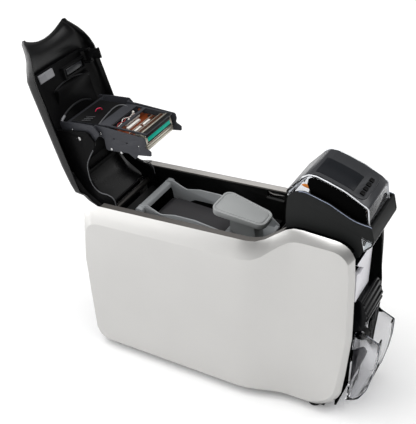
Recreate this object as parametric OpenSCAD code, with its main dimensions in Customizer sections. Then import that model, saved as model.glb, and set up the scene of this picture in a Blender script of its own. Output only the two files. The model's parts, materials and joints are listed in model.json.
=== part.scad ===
// Card printer with an open rear-hinged lid, a lift-out ribbon cartridge,
// a card feeder under a clear hood and a clear output bin.
// X runs to the front, Y to the machine's left side and Z up. Sizes along X are
// measured from the rear edge of the side panels and moved to the origin at the end.

/* [Body] */
// Length of the side panels
body_len = 396; // [380:1:420]
// Half of the width over the rear part of the side panels
rear_half = 79; // [76:0.5:84]
// Half of the width over the narrow front part
front_half = 63; // [61:0.5:66]
// Height of the underside of the panels above the table
panel_base = 7; // [5:0.5:10]
// Height of the panels' top edge, projected to the rear end
rim_rear = 237.8; // [232:0.2:244]
// Rise of the top edge towards the front, per unit length
rim_slope = 0.0665; // [0.05:0.0005:0.08]
// Height of the panels' raised front part
hump_top = 282; // [276:1:288]
// Wall thickness of the side panels
panel_wall = 2.6; // [2:0.2:3.4]
// Width of the rounded shoulder of the panels, seen from above
shoulder_in = 9; // [7:0.5:11]
// Length behind the front end where the narrowing starts
waist_back = 153; // [145:1:160]
// Length of the S-shaped narrowing
waist_len = 72; // [60:1:80]

/* [Tub] */
// Gap from the panels' outer face to the tub's inner wall, at the rear
tub_inset = 19; // [17:0.5:21]
// Wall thickness of the tub
tub_wall = 2.5; // [2:0.1:3]
// Thickness of the base tray's floor
tray_floor = 3; // [2.5:0.5:5]
// Height of the rubber feet
foot_h = 6; // [5:0.5:8]
// Radius of the rubber feet
foot_r = 9; // [7:0.5:11]

/* [Lid] */
// Distance of the lid's hinge axis from the rear end
hinge_x = 36; // [34:0.5:38]
// Height of the lid's hinge axis
hinge_z = 220; // [218:0.5:222]
// Radius of the hinge pins
hinge_r = 4; // [3:0.5:5]
// Angle by which the lid stands open
lid_open = 107; // [0:1:107]
// Wall thickness of the lid's shell
lid_wall = 2.4; // [1.8:0.1:2.8]
// Gap between the lid's edge and the body's rim
lid_gap = 0.6; // [0.5:0.1:1.2]
// Height of the lid's crown over its side walls
lid_crown = 16; // [14:0.5:20]
// Depth of the lid's inner liner below the crown side
liner_depth = 15; // [14:0.5:16]

/* [Print head] */
// Distance of the carrier's front side plates inside the card rails
carrier_in = 3; // [2:0.1:3.4]
// Distance of the carrier's rear side plates outside the card rails' inner faces
carrier_out = 3; // [2:0.1:4]
// Sheet thickness of the carrier
sheet = 1.5; // [1.2:0.1:2]
// Distance of the print head's ends inside the carrier's front side plates
head_in = 7.5; // [7:0.5:10]
// Radius of the platen roller
platen_r = 8; // [7:0.2:8.4]
// Distance of the platen's axis from the rear end
platen_x = 130; // [129:0.5:132]
// Height of the card path
path_z = 136.7; // [135:0.1:136.8]

/* [Ribbon cartridge] */
// Distance of the cartridge's sides inside the card rails
cart_in = 6.8; // [6:0.2:7.2]
// Thickness of the cartridge's side walls
cart_wall = 2; // [1.5:0.1:2.4]
// Radius of the wound film on the supply spool
supply_r = 13; // [10:0.5:15]
// Radius of the wound film on the take-up spool
take_up_r = 12; // [9:0.5:14]
// Distance of the film's edges inside the cartridge's sides
film_in = 7.2; // [5.2:0.2:9.2]

/* [Feeder and hood] */
// Distance of the feeder's rear face from the front end
feeder_back = 108; // [106:0.5:110]
// Half of the width over the feeder's cheeks
cheek_half = 43; // [42:0.5:45]
// Wall thickness of the cheeks
cheek_wall = 3; // [2.4:0.2:4]
// Half of the hood's width
hood_half = 36; // [34:0.5:38]
// Wall thickness of the hood
hood_wall = 2; // [1.6:0.1:2.6]
// Travel of the buttons
button_travel = 1.2; // [0.8:0.1:1.5]

/* [Output bin] */
// Half of the bin's width
bin_half = 30.5; // [28:0.5:33]
// Wall thickness of the bin
bin_wall = 2; // [1.6:0.1:2.6]
// Width of the finger notch in the bin's front wall
bin_notch = 38; // [30:1:44]

/* [Hidden] */
$fn = 48;

clear = 0.3;                        // gap between faces that don't touch
fit = 0.05;                         // radial clearance of a shaft in its bore
body_front = body_len + 2;          // foremost point of the body
panel_front = body_front - 4;       // foremost point of the side panels
waist_start = body_front - waist_back;
waist_end = waist_start + waist_len;
feeder_x = body_front - feeder_back;
tray_z = foot_h;                    // underside of the base tray
origin_x = 167;                     // from the rear end to the middle of the open machine
front_line_z = 140;                 // height of the foremost point of the panels
rear_line_z = 150;                  // height of the rearmost point of the panels
panel_steps = 48;                   // columns in the mesh of a side panel
platen_z = path_z - platen_r;
rail_half = min(front_half - 19, rear_half - 35); // inner faces of the card rails
carrier_half = rail_half - carrier_in;
carrier_root_half = rail_half + carrier_out;
head_half = carrier_half - head_in;
cart_half = rail_half - cart_in;
film_half = cart_half - film_in;
pivot = [hinge_x, hinge_z];

black = [0.09, 0.09, 0.1];
charcoal = [0.2, 0.2, 0.22];
silver = [0.8, 0.8, 0.79];
pale = [0.88, 0.88, 0.87];
frame_grey = [0.5, 0.53, 0.54];
steel = [0.7, 0.71, 0.72];
smoke = [0.25, 0.27, 0.3, 0.6];

// ---------- placing and shaping helpers ----------

// Moves what is measured from the rear edge to the part's own origin
module placed() { translate([-origin_x, 0, 0]) children(); }

// Turns what is drawn with the lid shut to where the open lid holds it
module lid_pose() {
  placed() translate([hinge_x, 0, hinge_z]) rotate([0, -lid_open, 0])
    translate([-hinge_x, 0, -hinge_z]) children();
}

// Extrudes a profile drawn in X and Z from y0 to y1
module along_y(y0, y1) {
  translate([0, y1, 0]) rotate([90, 0, 0]) linear_extrude(height = y1 - y0) children();
}

// Repeats a piece drawn on the +Y side on the -Y side
module both_sides() {
  children();
  mirror([0, 1, 0]) children();
}

// Round bar along Y
module rod(p, r, y0, y1) { along_y(y0, y1) translate(p) circle(r = r); }

// Box between two corners
module block(low, high) { translate(low) cube(high - low); }

function unit(a) = a / norm(a);
function mix(a, b, t) = a + (b - a) * t;
function ease(t) = let (u = min(max(t, 0), 1)) u * u * (3 - 2 * u);

// Arc of n steps that rounds the corner q between p and s
function fillet(p, q, s, r, n) =
  let (u = unit(p - q), w = unit(s - q), half = acos(u * w) / 2,
       c = q + unit(u + w) * (r / sin(half)), b = q + u * (r / tan(half)),
       start = atan2(b.y - c.y, b.x - c.x), turn = sign(cross(q - p, s - q)))
  [for (i = [0:n]) let (a = start + turn * (180 - 2 * half) * i / n) c + r * [cos(a), sin(a)]];

// Open path or closed outline from corners [x, z, radius]
function rounded(v, closed = true, n = 6) =
  let (m = len(v))
  [for (i = [0:m - 1])
     let (p = v[(i + m - 1) % m], q = v[i], s = v[(i + 1) % m], inner = closed || (i > 0 && i < m - 1))
     each (inner && q[2] > 0
           ? fillet([p.x, p.y], [q.x, q.y], [s.x, s.y], q[2], n) : [[q.x, q.y]])];

// ---------- the body's shape ----------

// Share of the narrowing reached at x
function waist(x) = ease((x - waist_start) / waist_len);
// Half of the width over the panels' flat faces
function panel_half(x) = mix(rear_half, front_half, waist(x));
// Half of the width of the panels' open top edge
function edge_half(x) = panel_half(x) - shoulder_in;
// Inner half-width of the tub
function tub_half(x) = panel_half(x) - tub_inset;
// Height of the panels' top edge before it rises
function rim_line(x) = rim_rear + rim_slope * x;

rise_x = waist_start + 21;          // foot of the rise to the hump
crest_x = waist_start + 57;         // top of that rise

// Side outline of the panels' open edge: upper and lower halves, rear to front
edge_top = rounded([[2, rear_line_z, 0], [5, rim_line(0) + 0.5, 24], [rise_x, rim_line(rise_x), 40],
                    [crest_x, hump_top + 0.5, 35], [panel_front - 6, hump_top - 2.5, 28],
                    [panel_front, front_line_z, 0]], closed = false);
edge_bottom = rounded([[2, rear_line_z, 0], [14, panel_base, 20], [panel_front - 8, panel_base, 48],
                       [panel_front, front_line_z, 0]], closed = false);
// Side outline of the flat face inside the rounded shoulder
face_top = rounded([[9, rear_line_z, 0], [12, rim_line(0) - 23, 22],
    [rise_x - 3, rim_line(rise_x) - 25, 38],
                    [crest_x + 3, hump_top - 13.5, 38], [panel_front - 11, hump_top - 11.5, 24],
                    [panel_front - 6, front_line_z, 0]], closed = false);
face_bottom = rounded([[9, rear_line_z, 0], [20, panel_base + 10, 22],
                       [panel_front - 16, panel_base + 10, 44], [panel_front - 6, front_line_z, 0]],
                      closed = false);

// Height of the panels' top edge at x
function rim_z(x) = lookup(x, edge_top);
// Ring of points over an upper and a lower chain, drawn in by wall
function outline_ring(top, bottom, inset) =
  let (x0 = top[0].x, x1 = top[len(top) - 1].x,
       at = function (i) let (t = (1 - cos(180 * i / panel_steps)) / 2)
            [mix(x0, x1, t), mix(x0 + inset, x1 - inset, t)])
  concat([for (i = [0:panel_steps]) let (c = at(i), k = i > 0 && i < panel_steps ? 1 : 0)
            [c[1], lookup(c[0], top) - inset * k]],
         [for (i = [panel_steps - 1:-1:1]) let (c = at(i)) [c[1], lookup(c[0], bottom) + inset]]);
edge_ring = outline_ring(edge_top, edge_bottom, 0);
face_ring = outline_ring(face_top, face_bottom, 0);
inner_edge_ring = outline_ring(edge_top, edge_bottom, panel_wall);
inner_face_ring = outline_ring(face_top, face_bottom, 0.6);

// How far the shoulder lies inside the face: it meets the face at a soft crease
function shoulder_at(t) = shoulder_in * (0.45 * (1 - t) + 0.55 * pow(1 - t, 2.4));
// Row of the rounded shoulder: t is 0 at the open edge and 1 at the face
function shoulder_row(t) =
  [for (i = [0:len(edge_ring) - 1])
     let (p = mix(edge_ring[i], face_ring[i], t))
     [p.x, panel_half(p.x) - shoulder_at(t), p.y]];

// Closed shell through rings of equal length, capped across from top to bottom
module shell(rings) {
  m = len(rings[0]);
  n = panel_steps;
  last = (len(rings) - 1) * m;
  strips = [for (k = [0:len(rings) - 2], j = [0:m - 1]) let (a = k * m + j, b = k * m + (j + 1) % m)
              each [[a, b, b + m], [a, b + m, a + m]]];
  cap = concat([[0, 1, m - 1]], [for (i = [1:n - 2]) each [[i, i + 1, m - i], [i + 1, m - i - 1, m - i]]],
               [[n - 1, n, n + 1]]);
  polyhedron([for (r = rings) each r],
             concat([for (f = cap) [f[2], f[1], f[0]]], strips, [for (f = cap) f + [last, last, last]]));
}

// One silver side panel: a hollow moulded shell that narrows to the front
module side_panel() {
  color(silver) placed()
    shell([
      [for (p = inner_face_ring) [p.x, panel_half(p.x) - panel_wall, p.y]],
      [for (i = [0:len(edge_ring) - 1]) let (p = inner_edge_ring[i])
         [p.x, panel_half(p.x) - shoulder_in, p.y]],
      for (t = [0, 0.2, 0.45, 0.72, 1]) shoulder_row(t)
    ]);
}

module side_panel_left() { side_panel(); }
module side_panel_right() { mirror([0, 1, 0]) side_panel(); }

// Plan outline that keeps the same distance inside the panels' faces
function plan_outline(x0, x1, inset, steps = 14) =
  let (xs = [x0, for (i = [0:steps - 2]) mix(waist_start, min(waist_end, x1 - 1), i / (steps - 2)), x1])
  concat([for (x = xs) [x, -(panel_half(x) - inset)]],
         [for (i = [steps:-1:0]) [xs[i], panel_half(xs[i]) - inset]]);

// ---------- base, tub and rear ----------

foot_places = [[46, rear_half - 22], [body_front - 50, front_half - 20]];
tray_x0 = 22;
tray_x1 = body_front - 34;
tray_inset = shoulder_in + 4;

// Base tray with a raised edge, foot pockets and cooling slots
module base_tray() {
  edge_h = 8;
  pocket = 1.5;
  color(black) placed() difference() {
    translate([0, 0, tray_z]) linear_extrude(height = tray_floor + edge_h)
      polygon(plan_outline(tray_x0, tray_x1, tray_inset));
    translate([0, 0, tray_z + tray_floor]) linear_extrude(height = edge_h + 1)
      polygon(plan_outline(tray_x0 + tub_wall, tray_x1 - tub_wall, tray_inset + tub_wall));
    both_sides() for (p = foot_places)
      translate([p.x, p.y, tray_z - 1]) cylinder(r = foot_r + 0.4, h = 1 + pocket);
    for (i = [0:9]) block([110 + 12 * i, -26, tray_z - 1], [116 + 12 * i, 26, tray_z + tray_floor + 1]);
  }
}

// Four rubber feet, seated in the tray's pockets
module rubber_feet() {
  color("dimgray") placed() both_sides() for (p = foot_places)
    translate([p.x, p.y, 0]) rotate_extrude()
      polygon([[0, 0], [foot_r - 1.5, 0], [foot_r, 2], [foot_r, foot_h + 1.5], [0, foot_h + 1.5]]);
}

tub_x0 = 12;
tub_front = feeder_x - 3;
tub_floor_z = tray_z + tray_floor;
tub_step_x = waist_start + 8;       // the walls stand on the tray as far as here
tub_step_z = 162;                   // underside of the walls ahead of that, over the belt

// Outline in X and Z of the tub's walls, from the tray to just under the trim
function tub_side(x0, x1) =
  concat([[x0, tub_floor_z + clear], [tub_step_x, tub_floor_z + clear], [tub_step_x, tub_step_z],
          [x1, tub_step_z]],
         [for (i = [40:-1:0]) let (x = mix(x0, x1, i / 40)) [x, rim_z(x) - 3.2]]);

latch_x = feeder_x - 61;            // middle of the lid's latch
catch_x = [latch_x - 9, latch_x + 17];
catch_z = rim_z(latch_x) - 13.5;    // sill of the catch in the tub's far wall
catch_h = 8.3;

// Open-topped black tub between the panels that carries the hinge and the cartridge
module tub() {
  boss_r = 9;
  color(black) placed() difference() {
    union() {
      intersection() {
        along_y(-rear_half, rear_half) polygon(tub_side(tub_x0 + 16, tub_front));
        linear_extrude(height = 320) difference() {
          polygon(plan_outline(tub_x0, tub_front, rear_half - tub_half(0) - tub_wall));
          polygon(plan_outline(tub_x0 - 1, tub_front - tub_wall, rear_half - tub_half(0)));
        }
      }
      along_y(-tub_half(0), tub_half(0))
        polygon([[tub_x0 + 16, 60], [tub_x0 + 16 + tub_wall, 60], [tub_x0 + 16 + tub_wall, 192],
                 [tub_x0 + 16, 192]]);
      both_sides() {
        rod(pivot, boss_r, tub_half(0) - 2, tub_half(0) + 0.1);
        // ledges that carry the cartridge's rear bar and front shoulders
        block([68, cart_half + 4, 205], [82, tub_half(0) + 0.1, 224]);
        block([224, cart_half + 4, 200], [244, tub_half(0) + 0.1, 206]);
      }
      // cross bar and sloping ramp in the rear cavity
      along_y(-tub_half(0), tub_half(0)) polygon([[30, 190], [36, 190], [38, 196], [32, 196]]);
      along_y(-30, 46) polygon([[44, 214], [62, 202], [63.2, 203.8], [45.2, 215.8]]);
      both_sides() along_y(29, 32) polygon([[36, 190], [50, 190], [50, 211], [46, 213], [46, 194],
          [36, 194]]);
      // raised panels beside the lid's arms and the sloping lip under the catch
      both_sides() along_y(tub_half(0) - 0.8, tub_half(0) + 0.1)
        polygon([[75, 235], [83, rim_z(83) - 3.4], [127, rim_z(127) - 3.4], [134, 244], [130, 240],
            [87, 232]]);
      along_x(catch_x[0], catch_x[1])
        polygon([[tub_half(0) + 0.1, catch_z], [tub_half(0) - 2.6, catch_z - 1.5],
            [tub_half(0) + 0.1, catch_z - 7]]);
    }
    both_sides() rod(pivot, hinge_r, tub_half(0) - 5, tub_half(0) + tub_wall + 1);
    block([catch_x[0], tub_half(0) - 1, catch_z], [catch_x[1], tub_half(0) + tub_wall + 1,
        catch_z + catch_h]);
  }
}

// Flat trim that bridges the tub and the panels' top edge
module rim_trim() {
  x0 = 32;
  x1 = feeder_x + 4;
  steps = 20;
  color([0.3, 0.29, 0.28]) placed() intersection() {
    along_y(-rear_half, rear_half)
      polygon(concat([for (i = [0:steps]) let (x = mix(x0, x1, i / steps)) [x, rim_z(x) - 0.5]],
                     [for (i = [steps:-1:0]) let (x = mix(x0, x1, i / steps)) [x, rim_z(x) - 2.7]]));
    linear_extrude(height = 320) difference() {
      polygon(plan_outline(x0 - 1, x1 + 1, shoulder_in + 0.4));
      polygon(plan_outline(x0 - 2, x1 + 2, tub_inset + 0.6));
    }
  }
}

// Plate across the machine, drawn in Y and Z, from x0 to x1
module along_x(x0, x1) {
  translate([x0, 0, 0]) rotate([90, 0, 90]) linear_extrude(height = x1 - x0) children();
}

// Rear wall between the panels, curled forward at the top, with sockets and vents cut out
inlet_at = [-38, 40];               // Y and Z of the power inlet
ports_at = [4, 40];                 // Y and Z of the data sockets
switch_at = [44, 40];               // Y and Z of the power button
inlet_size = [27, 20];
port_size = [[16, 14], [13, 12]];
port_step = 22;
switch_r = 7;
module rear_cover() {
  wall = 2.4;
  half = rear_half - shoulder_in - 0.5;
  outer = [[15, 16, 0], [3.6, rear_line_z, 60], [7.5, 215, 10], [15, 221, 4], [26, 221.5, 0]];
  inner = [[26, 221.5 - wall, 0], [16, 221 - wall, 4], [7.5 + wall, 214, 8],
           [3.6 + wall, rear_line_z, 60], [15 + wall, 16, 0]];
  color(black) placed() difference() {
    along_y(-half, half) polygon(concat(rounded(outer, closed = false), rounded(inner, closed = false)));
    block([2, inlet_at.x - inlet_size.x / 2, inlet_at.y - inlet_size.y / 2],
          [24, inlet_at.x + inlet_size.x / 2, inlet_at.y + inlet_size.y / 2]);
    for (i = [0, 1]) block([2, ports_at.x - port_size[i].x / 2 + port_step * (i - 0.5),
        ports_at.y - port_size[i].y / 2],
                           [24, ports_at.x + port_size[i].x / 2 + port_step * (i - 0.5),
                               ports_at.y + port_size[i].y / 2]);
    translate([2, switch_at.x, switch_at.y]) rotate([0, 90, 0]) cylinder(r = switch_r + 0.4, h = 22);
    for (i = [0:8]) block([2, -50, 90 + 9 * i], [24, 50, 94 + 9 * i]);
  }
}

// Three-pin inlet in a plain shroud
module power_inlet() {
  deep = 14;
  wall = 2;
  x0 = 13.5;
  color("dimgray") placed() {
    difference() {
      block([x0, inlet_at.x - inlet_size.x / 2 + 0.3, inlet_at.y - inlet_size.y / 2 + 0.3],
            [x0 + deep + wall, inlet_at.x + inlet_size.x / 2 - 0.3, inlet_at.y + inlet_size.y / 2 - 0.3]);
      block([x0 - 1, inlet_at.x - inlet_size.x / 2 + wall, inlet_at.y - inlet_size.y / 2 + wall],
            [x0 + deep, inlet_at.x + inlet_size.x / 2 - wall, inlet_at.y + inlet_size.y / 2 - wall]);
    }
    for (p = [[-7, -2], [0, 3], [7, -2]])
      block([x0 + 6, inlet_at.x + p.x - 1, inlet_at.y + p.y - 2],
          [x0 + deep, inlet_at.x + p.x + 1, inlet_at.y + p.y + 2]);
  }
}

// Two data sockets: open metal boxes
module data_ports() {
  deep = 14;
  x0 = 13.5;
  color(steel) placed() for (i = [0, 1]) {
    y = ports_at.x + port_step * (i - 0.5);
    w = port_size[i] / 2 - [0.3, 0.3];
    difference() {
      block([x0, y - w.x, ports_at.y - w.y], [x0 + deep, y + w.x, ports_at.y + w.y]);
      block([x0 - 1, y - w.x + 1, ports_at.y - w.y + 1], [x0 + deep - 1.5, y + w.x - 1,
          ports_at.y + w.y - 1]);
    }
  }
}

// Round push button in the rear cover
module power_button() {
  x0 = 11.5;
  color(charcoal) placed() translate([x0, switch_at.x, switch_at.y]) rotate([0, 90, 0]) rotate_extrude()
    polygon([[0, 0.6], [switch_r - 1.5, 0], [switch_r, 1], [switch_r, 10], [0, 10]]);
}

// Control board on its posts beside the tub, with its large parts
module main_board() {
  y1 = -(tub_half(0) + tub_wall);
  y0 = y1 - 3.5;
  color([0.1, 0.35, 0.22]) placed() {
    block([60, y0 - 1.6, 30], [220, y0, 150]);
    for (x = [66, 214], z = [36, 144]) rod([x, z], 3, y0, y1);
    for (p = [[80, 60, 26, 26], [130, 50, 30, 14], [150, 100, 22, 30], [90, 120, 40, 12]])
      block([p[0], y0 - 5.6, p[1]], [p[0] + p[2], y0 - 1.6, p[1] + p[3]]);
  }
}

// ---------- front ----------

frame_x = body_front - 19;          // rear face of the front backing plate
frame_t = 2.5;
front_half_in = front_half - shoulder_in - 0.6;
slot_z = [130, 144];
deck_z = 252;
deck_t = 3;
column_y = 14;
pick_z = deck_z + deck_t + 4.6;
pick_x = body_front - 28;
pick_r = 8;

// Black backing plate of the front with the card slot, the column and the feeder's deck
module front_frame() {
  column_half = 44;
  column = [[frame_x + frame_t, 46, 0], [body_front - 3, 46, 8], [body_front + 0.4, 129, 60],
            [body_front - 1.2, 172, 40], [body_front - 5.5, 208, 40], [body_front - 8.7, 234, 10],
            [body_front - 12, deck_z, 3], [frame_x + frame_t, deck_z, 0]];
  shelf_x = [feeder_x + 5, panel_front - 12];
  shelf_drop = 4;
  shelf_in = cheek_half + 0.8;
  steps = 16;
  // outline in X and Z between the deck and a line that keeps under the panels' top edge
  function shelf(drop) =
    concat([for (i = [0:steps]) let (x = mix(shelf_x[0], shelf_x[1], i / steps)) [x, rim_z(x) - drop]],
           [[shelf_x[1], deck_z], [shelf_x[0], deck_z]]);
  color(black) placed() {
    difference() {
      union() {
        along_x(frame_x, frame_x + frame_t) polygon([[-front_half_in, 18], [front_half_in, 18],
          [front_half_in, deck_z], [-front_half_in, deck_z]]);
        along_y(column_y, column_half) polygon(rounded(column));
        block([feeder_x, -front_half_in + 1, deck_z],
              [frame_x + frame_t + 8, front_half_in - 1, deck_z + deck_t]);
        // shelves between the feeder's cheeks and the panels, standing on the deck
        difference() {
          intersection() {
            along_y(-rear_half, rear_half) polygon(shelf(shelf_drop));
            linear_extrude(height = 320) polygon(plan_outline(tub_x0, shelf_x[1] + 1, shoulder_in + 0.6));
          }
          intersection() {
            along_y(-rear_half, rear_half) polygon(shelf(shelf_drop + 2.2));
            linear_extrude(height = 320)
              polygon(plan_outline(tub_x0, shelf_x[1] + 2, shoulder_in + 2.8));
          }
          block([shelf_x[0] - 1, -shelf_in, deck_z - 1], [shelf_x[1] + 1, shelf_in, hump_top + 10]);
        }
        // ears of the exit idler
        for (y = [[idler_y.x - 1.7, idler_y.x - 0.4], [idler_y.y + 0.4, idler_y.y + 2]])
          along_y(y.x, y.y) polygon(rounded([[frame_x + 1, idler_z - 6, 0], [idler_x + 5, idler_z - 5, 4],
                                             [idler_x + 5, idler_z + 5, 4],
                                                 [frame_x + 1, idler_z + 7, 0]]));
      }
      block([frame_x - 1, -28, slot_z.x], [frame_x + frame_t + 1, 28, slot_z.y]);
      block([frame_x + frame_t - 0.01, column_y - 1, slot_z.x - 4], [body_front + 10, 33.6, slot_z.y + 44]);
      block([frame_x + frame_t - 0.01, column_y - 1, 6], [body_front + 10, bin_half + 0.5, slot_z.x]);
      block([pick_x - 16, -24, deck_z - 1], [pick_x + pick_r + 0.6, 38, deck_z + deck_t + 1]);
      rod([idler_x, idler_z], 2 + fit, idler_y.x - 6, idler_y.y + 6);
    }
  }
}

idler_x = body_front - 2;
idler_z = 120;
idler_r = 7.5;
idler_y = [-22.5, -9];

// Free roller under the mouth that lets cards drop into the bin
module exit_idler() {
  color(charcoal) placed() {
    rod([idler_x, idler_z], idler_r, idler_y.x, idler_y.y);
    rod([idler_x, idler_z], 2, idler_y.x - 1.7, idler_y.y + 2);
  }
}

// Pale cover over the upper front, cut back around the latch hook at its left edge
module front_fascia() {
  x0 = frame_x + frame_t;
  thick = 6;
  color(pale) placed() difference() {
    along_x(x0, x0 + thick) polygon(rounded([
      [-38, 183.6, 3], [column_y - 0.5, 183.6, 0], [column_y - 0.5, 250, 2], [-38, 250, 5],
      [-42.5, 244, 3], [-33, 237, 2], [-14, 224, 1.2], [-30, 224.5, 3], [-41, 231, 2]]));
    along_x(x0 - 1, x0 + thick - 2) polygon([[-34, 187], [column_y - 3, 187], [column_y - 3, 220],
        [-34, 220]]);
  }
}

// Ribbed housing over the card mouth
module exit_housing() {
  x0 = frame_x + frame_t;
  profile = [[x0, slot_z.y - 2, 0], [x0 + 20, slot_z.y - 4, 4], [x0 + 21, 160, 8], [x0 + 13, 182, 4],
      [x0, 183, 0]];
  color(black) placed() {
    difference() {
      along_y(-30, 33) polygon(rounded(profile));
      along_y(-28.4, 30) polygon([[x0 - 1, slot_z.y - 6], [x0 + 16, slot_z.y - 6], [x0 + 16, 158],
          [x0 + 10, 170], [x0 - 1, 170]]);
    }
    for (i = [0:3]) along_y(-28, 31) intersection() {
      polygon(rounded([[x0 + 8, slot_z.y, 0], [x0 + 22, slot_z.y - 4, 3], [x0 + 22.6, 160, 8],
          [x0 + 14.5, 184, 4], [x0 + 8, 184, 0]]));
      translate([x0 + 8, 151 + 8 * i]) square([20, 3]);
    }
    // side cheeks that guide the card down over the idler
    for (y = [[-30, -28.6], [31.6, 33]]) along_y(y.x, y.y)
      polygon([[x0, slot_z.x + 1], [x0 + 8, slot_z.x + 1], [x0 + 20, slot_z.y - 3], [x0, slot_z.y - 1]]);
  }
}

// ---------- card path and drives ----------

rail_t = 2.5;
rail_z = [92, 150];
feed_x = platen_x + 132;
exit_x = platen_x + 239.5;
shaft_r = 3;
pinch_r = 6;
card_t = 0.8;
pinch_z = path_z + card_t + pinch_r;
tooth = 0.8;                        // module of the gears
platen_teeth = 40;
motor_teeth = 18;
gear_gap = (platen_teeth + motor_teeth) * tooth / 2;
motor_at = [platen_x + gear_gap * cos(50), platen_z - gear_gap * sin(50)];
gear_y = [rail_half + rail_t + 1, rail_half + rail_t + 4.5];
belt_y = [gear_y.y + 0.6, gear_y.y + 4.2];
pulley_r = 7;

function inv(a) = tan(a) * 180 / PI - a;
// Half of the angle that a tooth fills at radius r
function tooth_angle(r, n, rb) = 90 / n - 10 / n + inv(20) - inv(acos(min(1, rb / r)));

// Spur gear with involute flanks, its axis along Z
module gear(teeth, width, bore) {
  pitch = teeth * tooth / 2;
  rb = pitch * cos(20);
  tip = pitch + tooth * 0.95;
  root = pitch - tooth * 1.2;
  foot = max(root, rb);
  flank = [for (i = [0:3]) let (r = mix(foot, tip, i / 3)) [r, tooth_angle(r, teeth, rb)]];
  difference() {
    linear_extrude(height = width) polygon([for (k = [0:teeth - 1]) let (mid = 360 * k / teeth) each concat(
      [let (a = mid - flank[0][1] - 15 / teeth) root * [cos(a), sin(a)]],
      [for (i = [0:3]) let (a = mid - flank[i][1]) flank[i][0] * [cos(a), sin(a)]],
      [for (i = [3:-1:0]) let (a = mid + flank[i][1]) flank[i][0] * [cos(a), sin(a)]],
      [let (a = mid + flank[0][1] + 15 / teeth) root * [cos(a), sin(a)]])]);
    if (bore > 0) translate([0, 0, -1]) cylinder(r = bore, h = width + 2);
  }
}

// Gear with its axis along Y between y0 and y1, turned by an angle
module gear_at(p, teeth, y0, y1, turn = 0, bore = 0) {
  translate([p.x, y1, p.y]) rotate([90, 0, 0]) rotate([0, 0, turn]) gear(teeth, y1 - y0, bore);
}

// Side plates of the card path with their legs and shaft bores
module path_rails() {
  outline = [[60, rail_z.x, 0], [60, rail_z.y, 4], [frame_x - 1, rail_z.y, 4],
      [frame_x - 1, rail_z.x + 14, 6],
             [body_front - 38, rail_z.x, 10], [body_front - 38, tub_floor_z, 0],
                 [body_front - 60, tub_floor_z, 0],
             [body_front - 68, rail_z.x, 10], [98, rail_z.x, 10], [90, tub_floor_z, 0],
                 [60, tub_floor_z, 0]];
  color(steel) placed() difference() {
    both_sides() along_y(rail_half, rail_half + rail_t) polygon(rounded(outline, n = 3));
    for (x = [platen_x, feed_x, exit_x]) rod([x, platen_z], shaft_r + fit, -60, 60);
    rod([feed_x, pinch_z], 2.5 + fit, -60, 60);
    rod(motor_at, 4, 0, 60);
  }
}

// Card guides between the rollers
module path_plates() {
  t = 1.2;
  color([0.75, 0.76, 0.77]) placed() {
    for (r = [[64, platen_x - 18], [platen_x + 12, feed_x - 12], [feed_x + 12, exit_x - 12]])
      block([r.x, -rail_half, path_z - 3 - t], [r.y, rail_half, path_z - 3]);
    for (r = [[feed_x + 14, exit_x + 4]])
      block([r.x, -rail_half, path_z + 6], [r.y, rail_half, path_z + 6 + t]);
  }
}

// Shaft along Y with a rubber sleeve in one or more lengths
module roller(p, r, sleeves, y0, y1, shaft) {
  rod(p, shaft, y0, y1);
  for (s = sleeves) rod(p, r, s.x, s.y);
}

// Platen with its drive gear and belt pulley
module platen_roller() {
  p = [platen_x, platen_z];
  color(charcoal) placed() {
    roller(p, platen_r, [[-carrier_half + 2.3, carrier_half - 2.3]], -rail_half - rail_t - 1.5,
        belt_y.y + 0.5, shaft_r);
    both_sides() rod(p, 5, carrier_half + 0.6, rail_half - 0.4);
    gear_at(p, platen_teeth, gear_y.x, gear_y.y);
    rod(p, pulley_r, belt_y.x - 0.3, belt_y.y + 0.2);
  }
}

module feed_roller() {
  p = [feed_x, platen_z];
  color(charcoal) placed() {
    roller(p, platen_r, [[-32, -12], [12, 32]], -rail_half - rail_t - 1.5, belt_y.y + 0.5, shaft_r);
    rod(p, pulley_r, belt_y.x - 0.3, belt_y.y + 0.2);
    both_sides() rod(p, 5, 33, rail_half - 0.5);
  }
}

module exit_roller() {
  p = [exit_x, platen_z];
  color(charcoal) placed() {
    roller(p, platen_r - 1.2, [[-32, -12], [12, 32]], -rail_half - rail_t - 1.5, belt_y.y + 0.5, shaft_r);
    rod(p, pulley_r, belt_y.x - 0.3, belt_y.y + 0.2);
    both_sides() rod(p, 5, 33, rail_half - 0.5);
  }
}

// Pinch roller over the feed roller
module pressure_roller() {
  color(charcoal) placed()
    roller([feed_x, pinch_z], pinch_r, [[-32, -12], [12, 32]], -rail_half - rail_t - 0.5,
        rail_half + rail_t + 0.5, 2.5);
}

// Motor that drives the platen, bolted to the left rail
module drive_motor() {
  color([0.35, 0.35, 0.37]) placed() {
    rod(motor_at, 13.5, 6, rail_half - 1.5);
    rod(motor_at, 6, rail_half - 1.5, rail_half - 0.6);
    for (a = [40, 220]) let (p = motor_at + 10 * [cos(a), sin(a)]) rod(p, 2, rail_half - 1.5, rail_half);
  }
}

module motor_pinion() {
  color("goldenrod") placed() {
    gear_at(motor_at, motor_teeth, gear_y.x, gear_y.y, turn = pinion_turn(platen_teeth, motor_teeth, -50));
    rod(motor_at, 2, rail_half - 0.3, gear_y.y + 0.5);
  }
}

// Turn that puts a follower's tooth gap on the line of centres, which lies at angle a
function pinion_turn(n1, n2,
    a) = let (phase = a / (360 / n1)) 180 + a + (phase - floor(phase) - 0.5) * 360 / n2;

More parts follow.
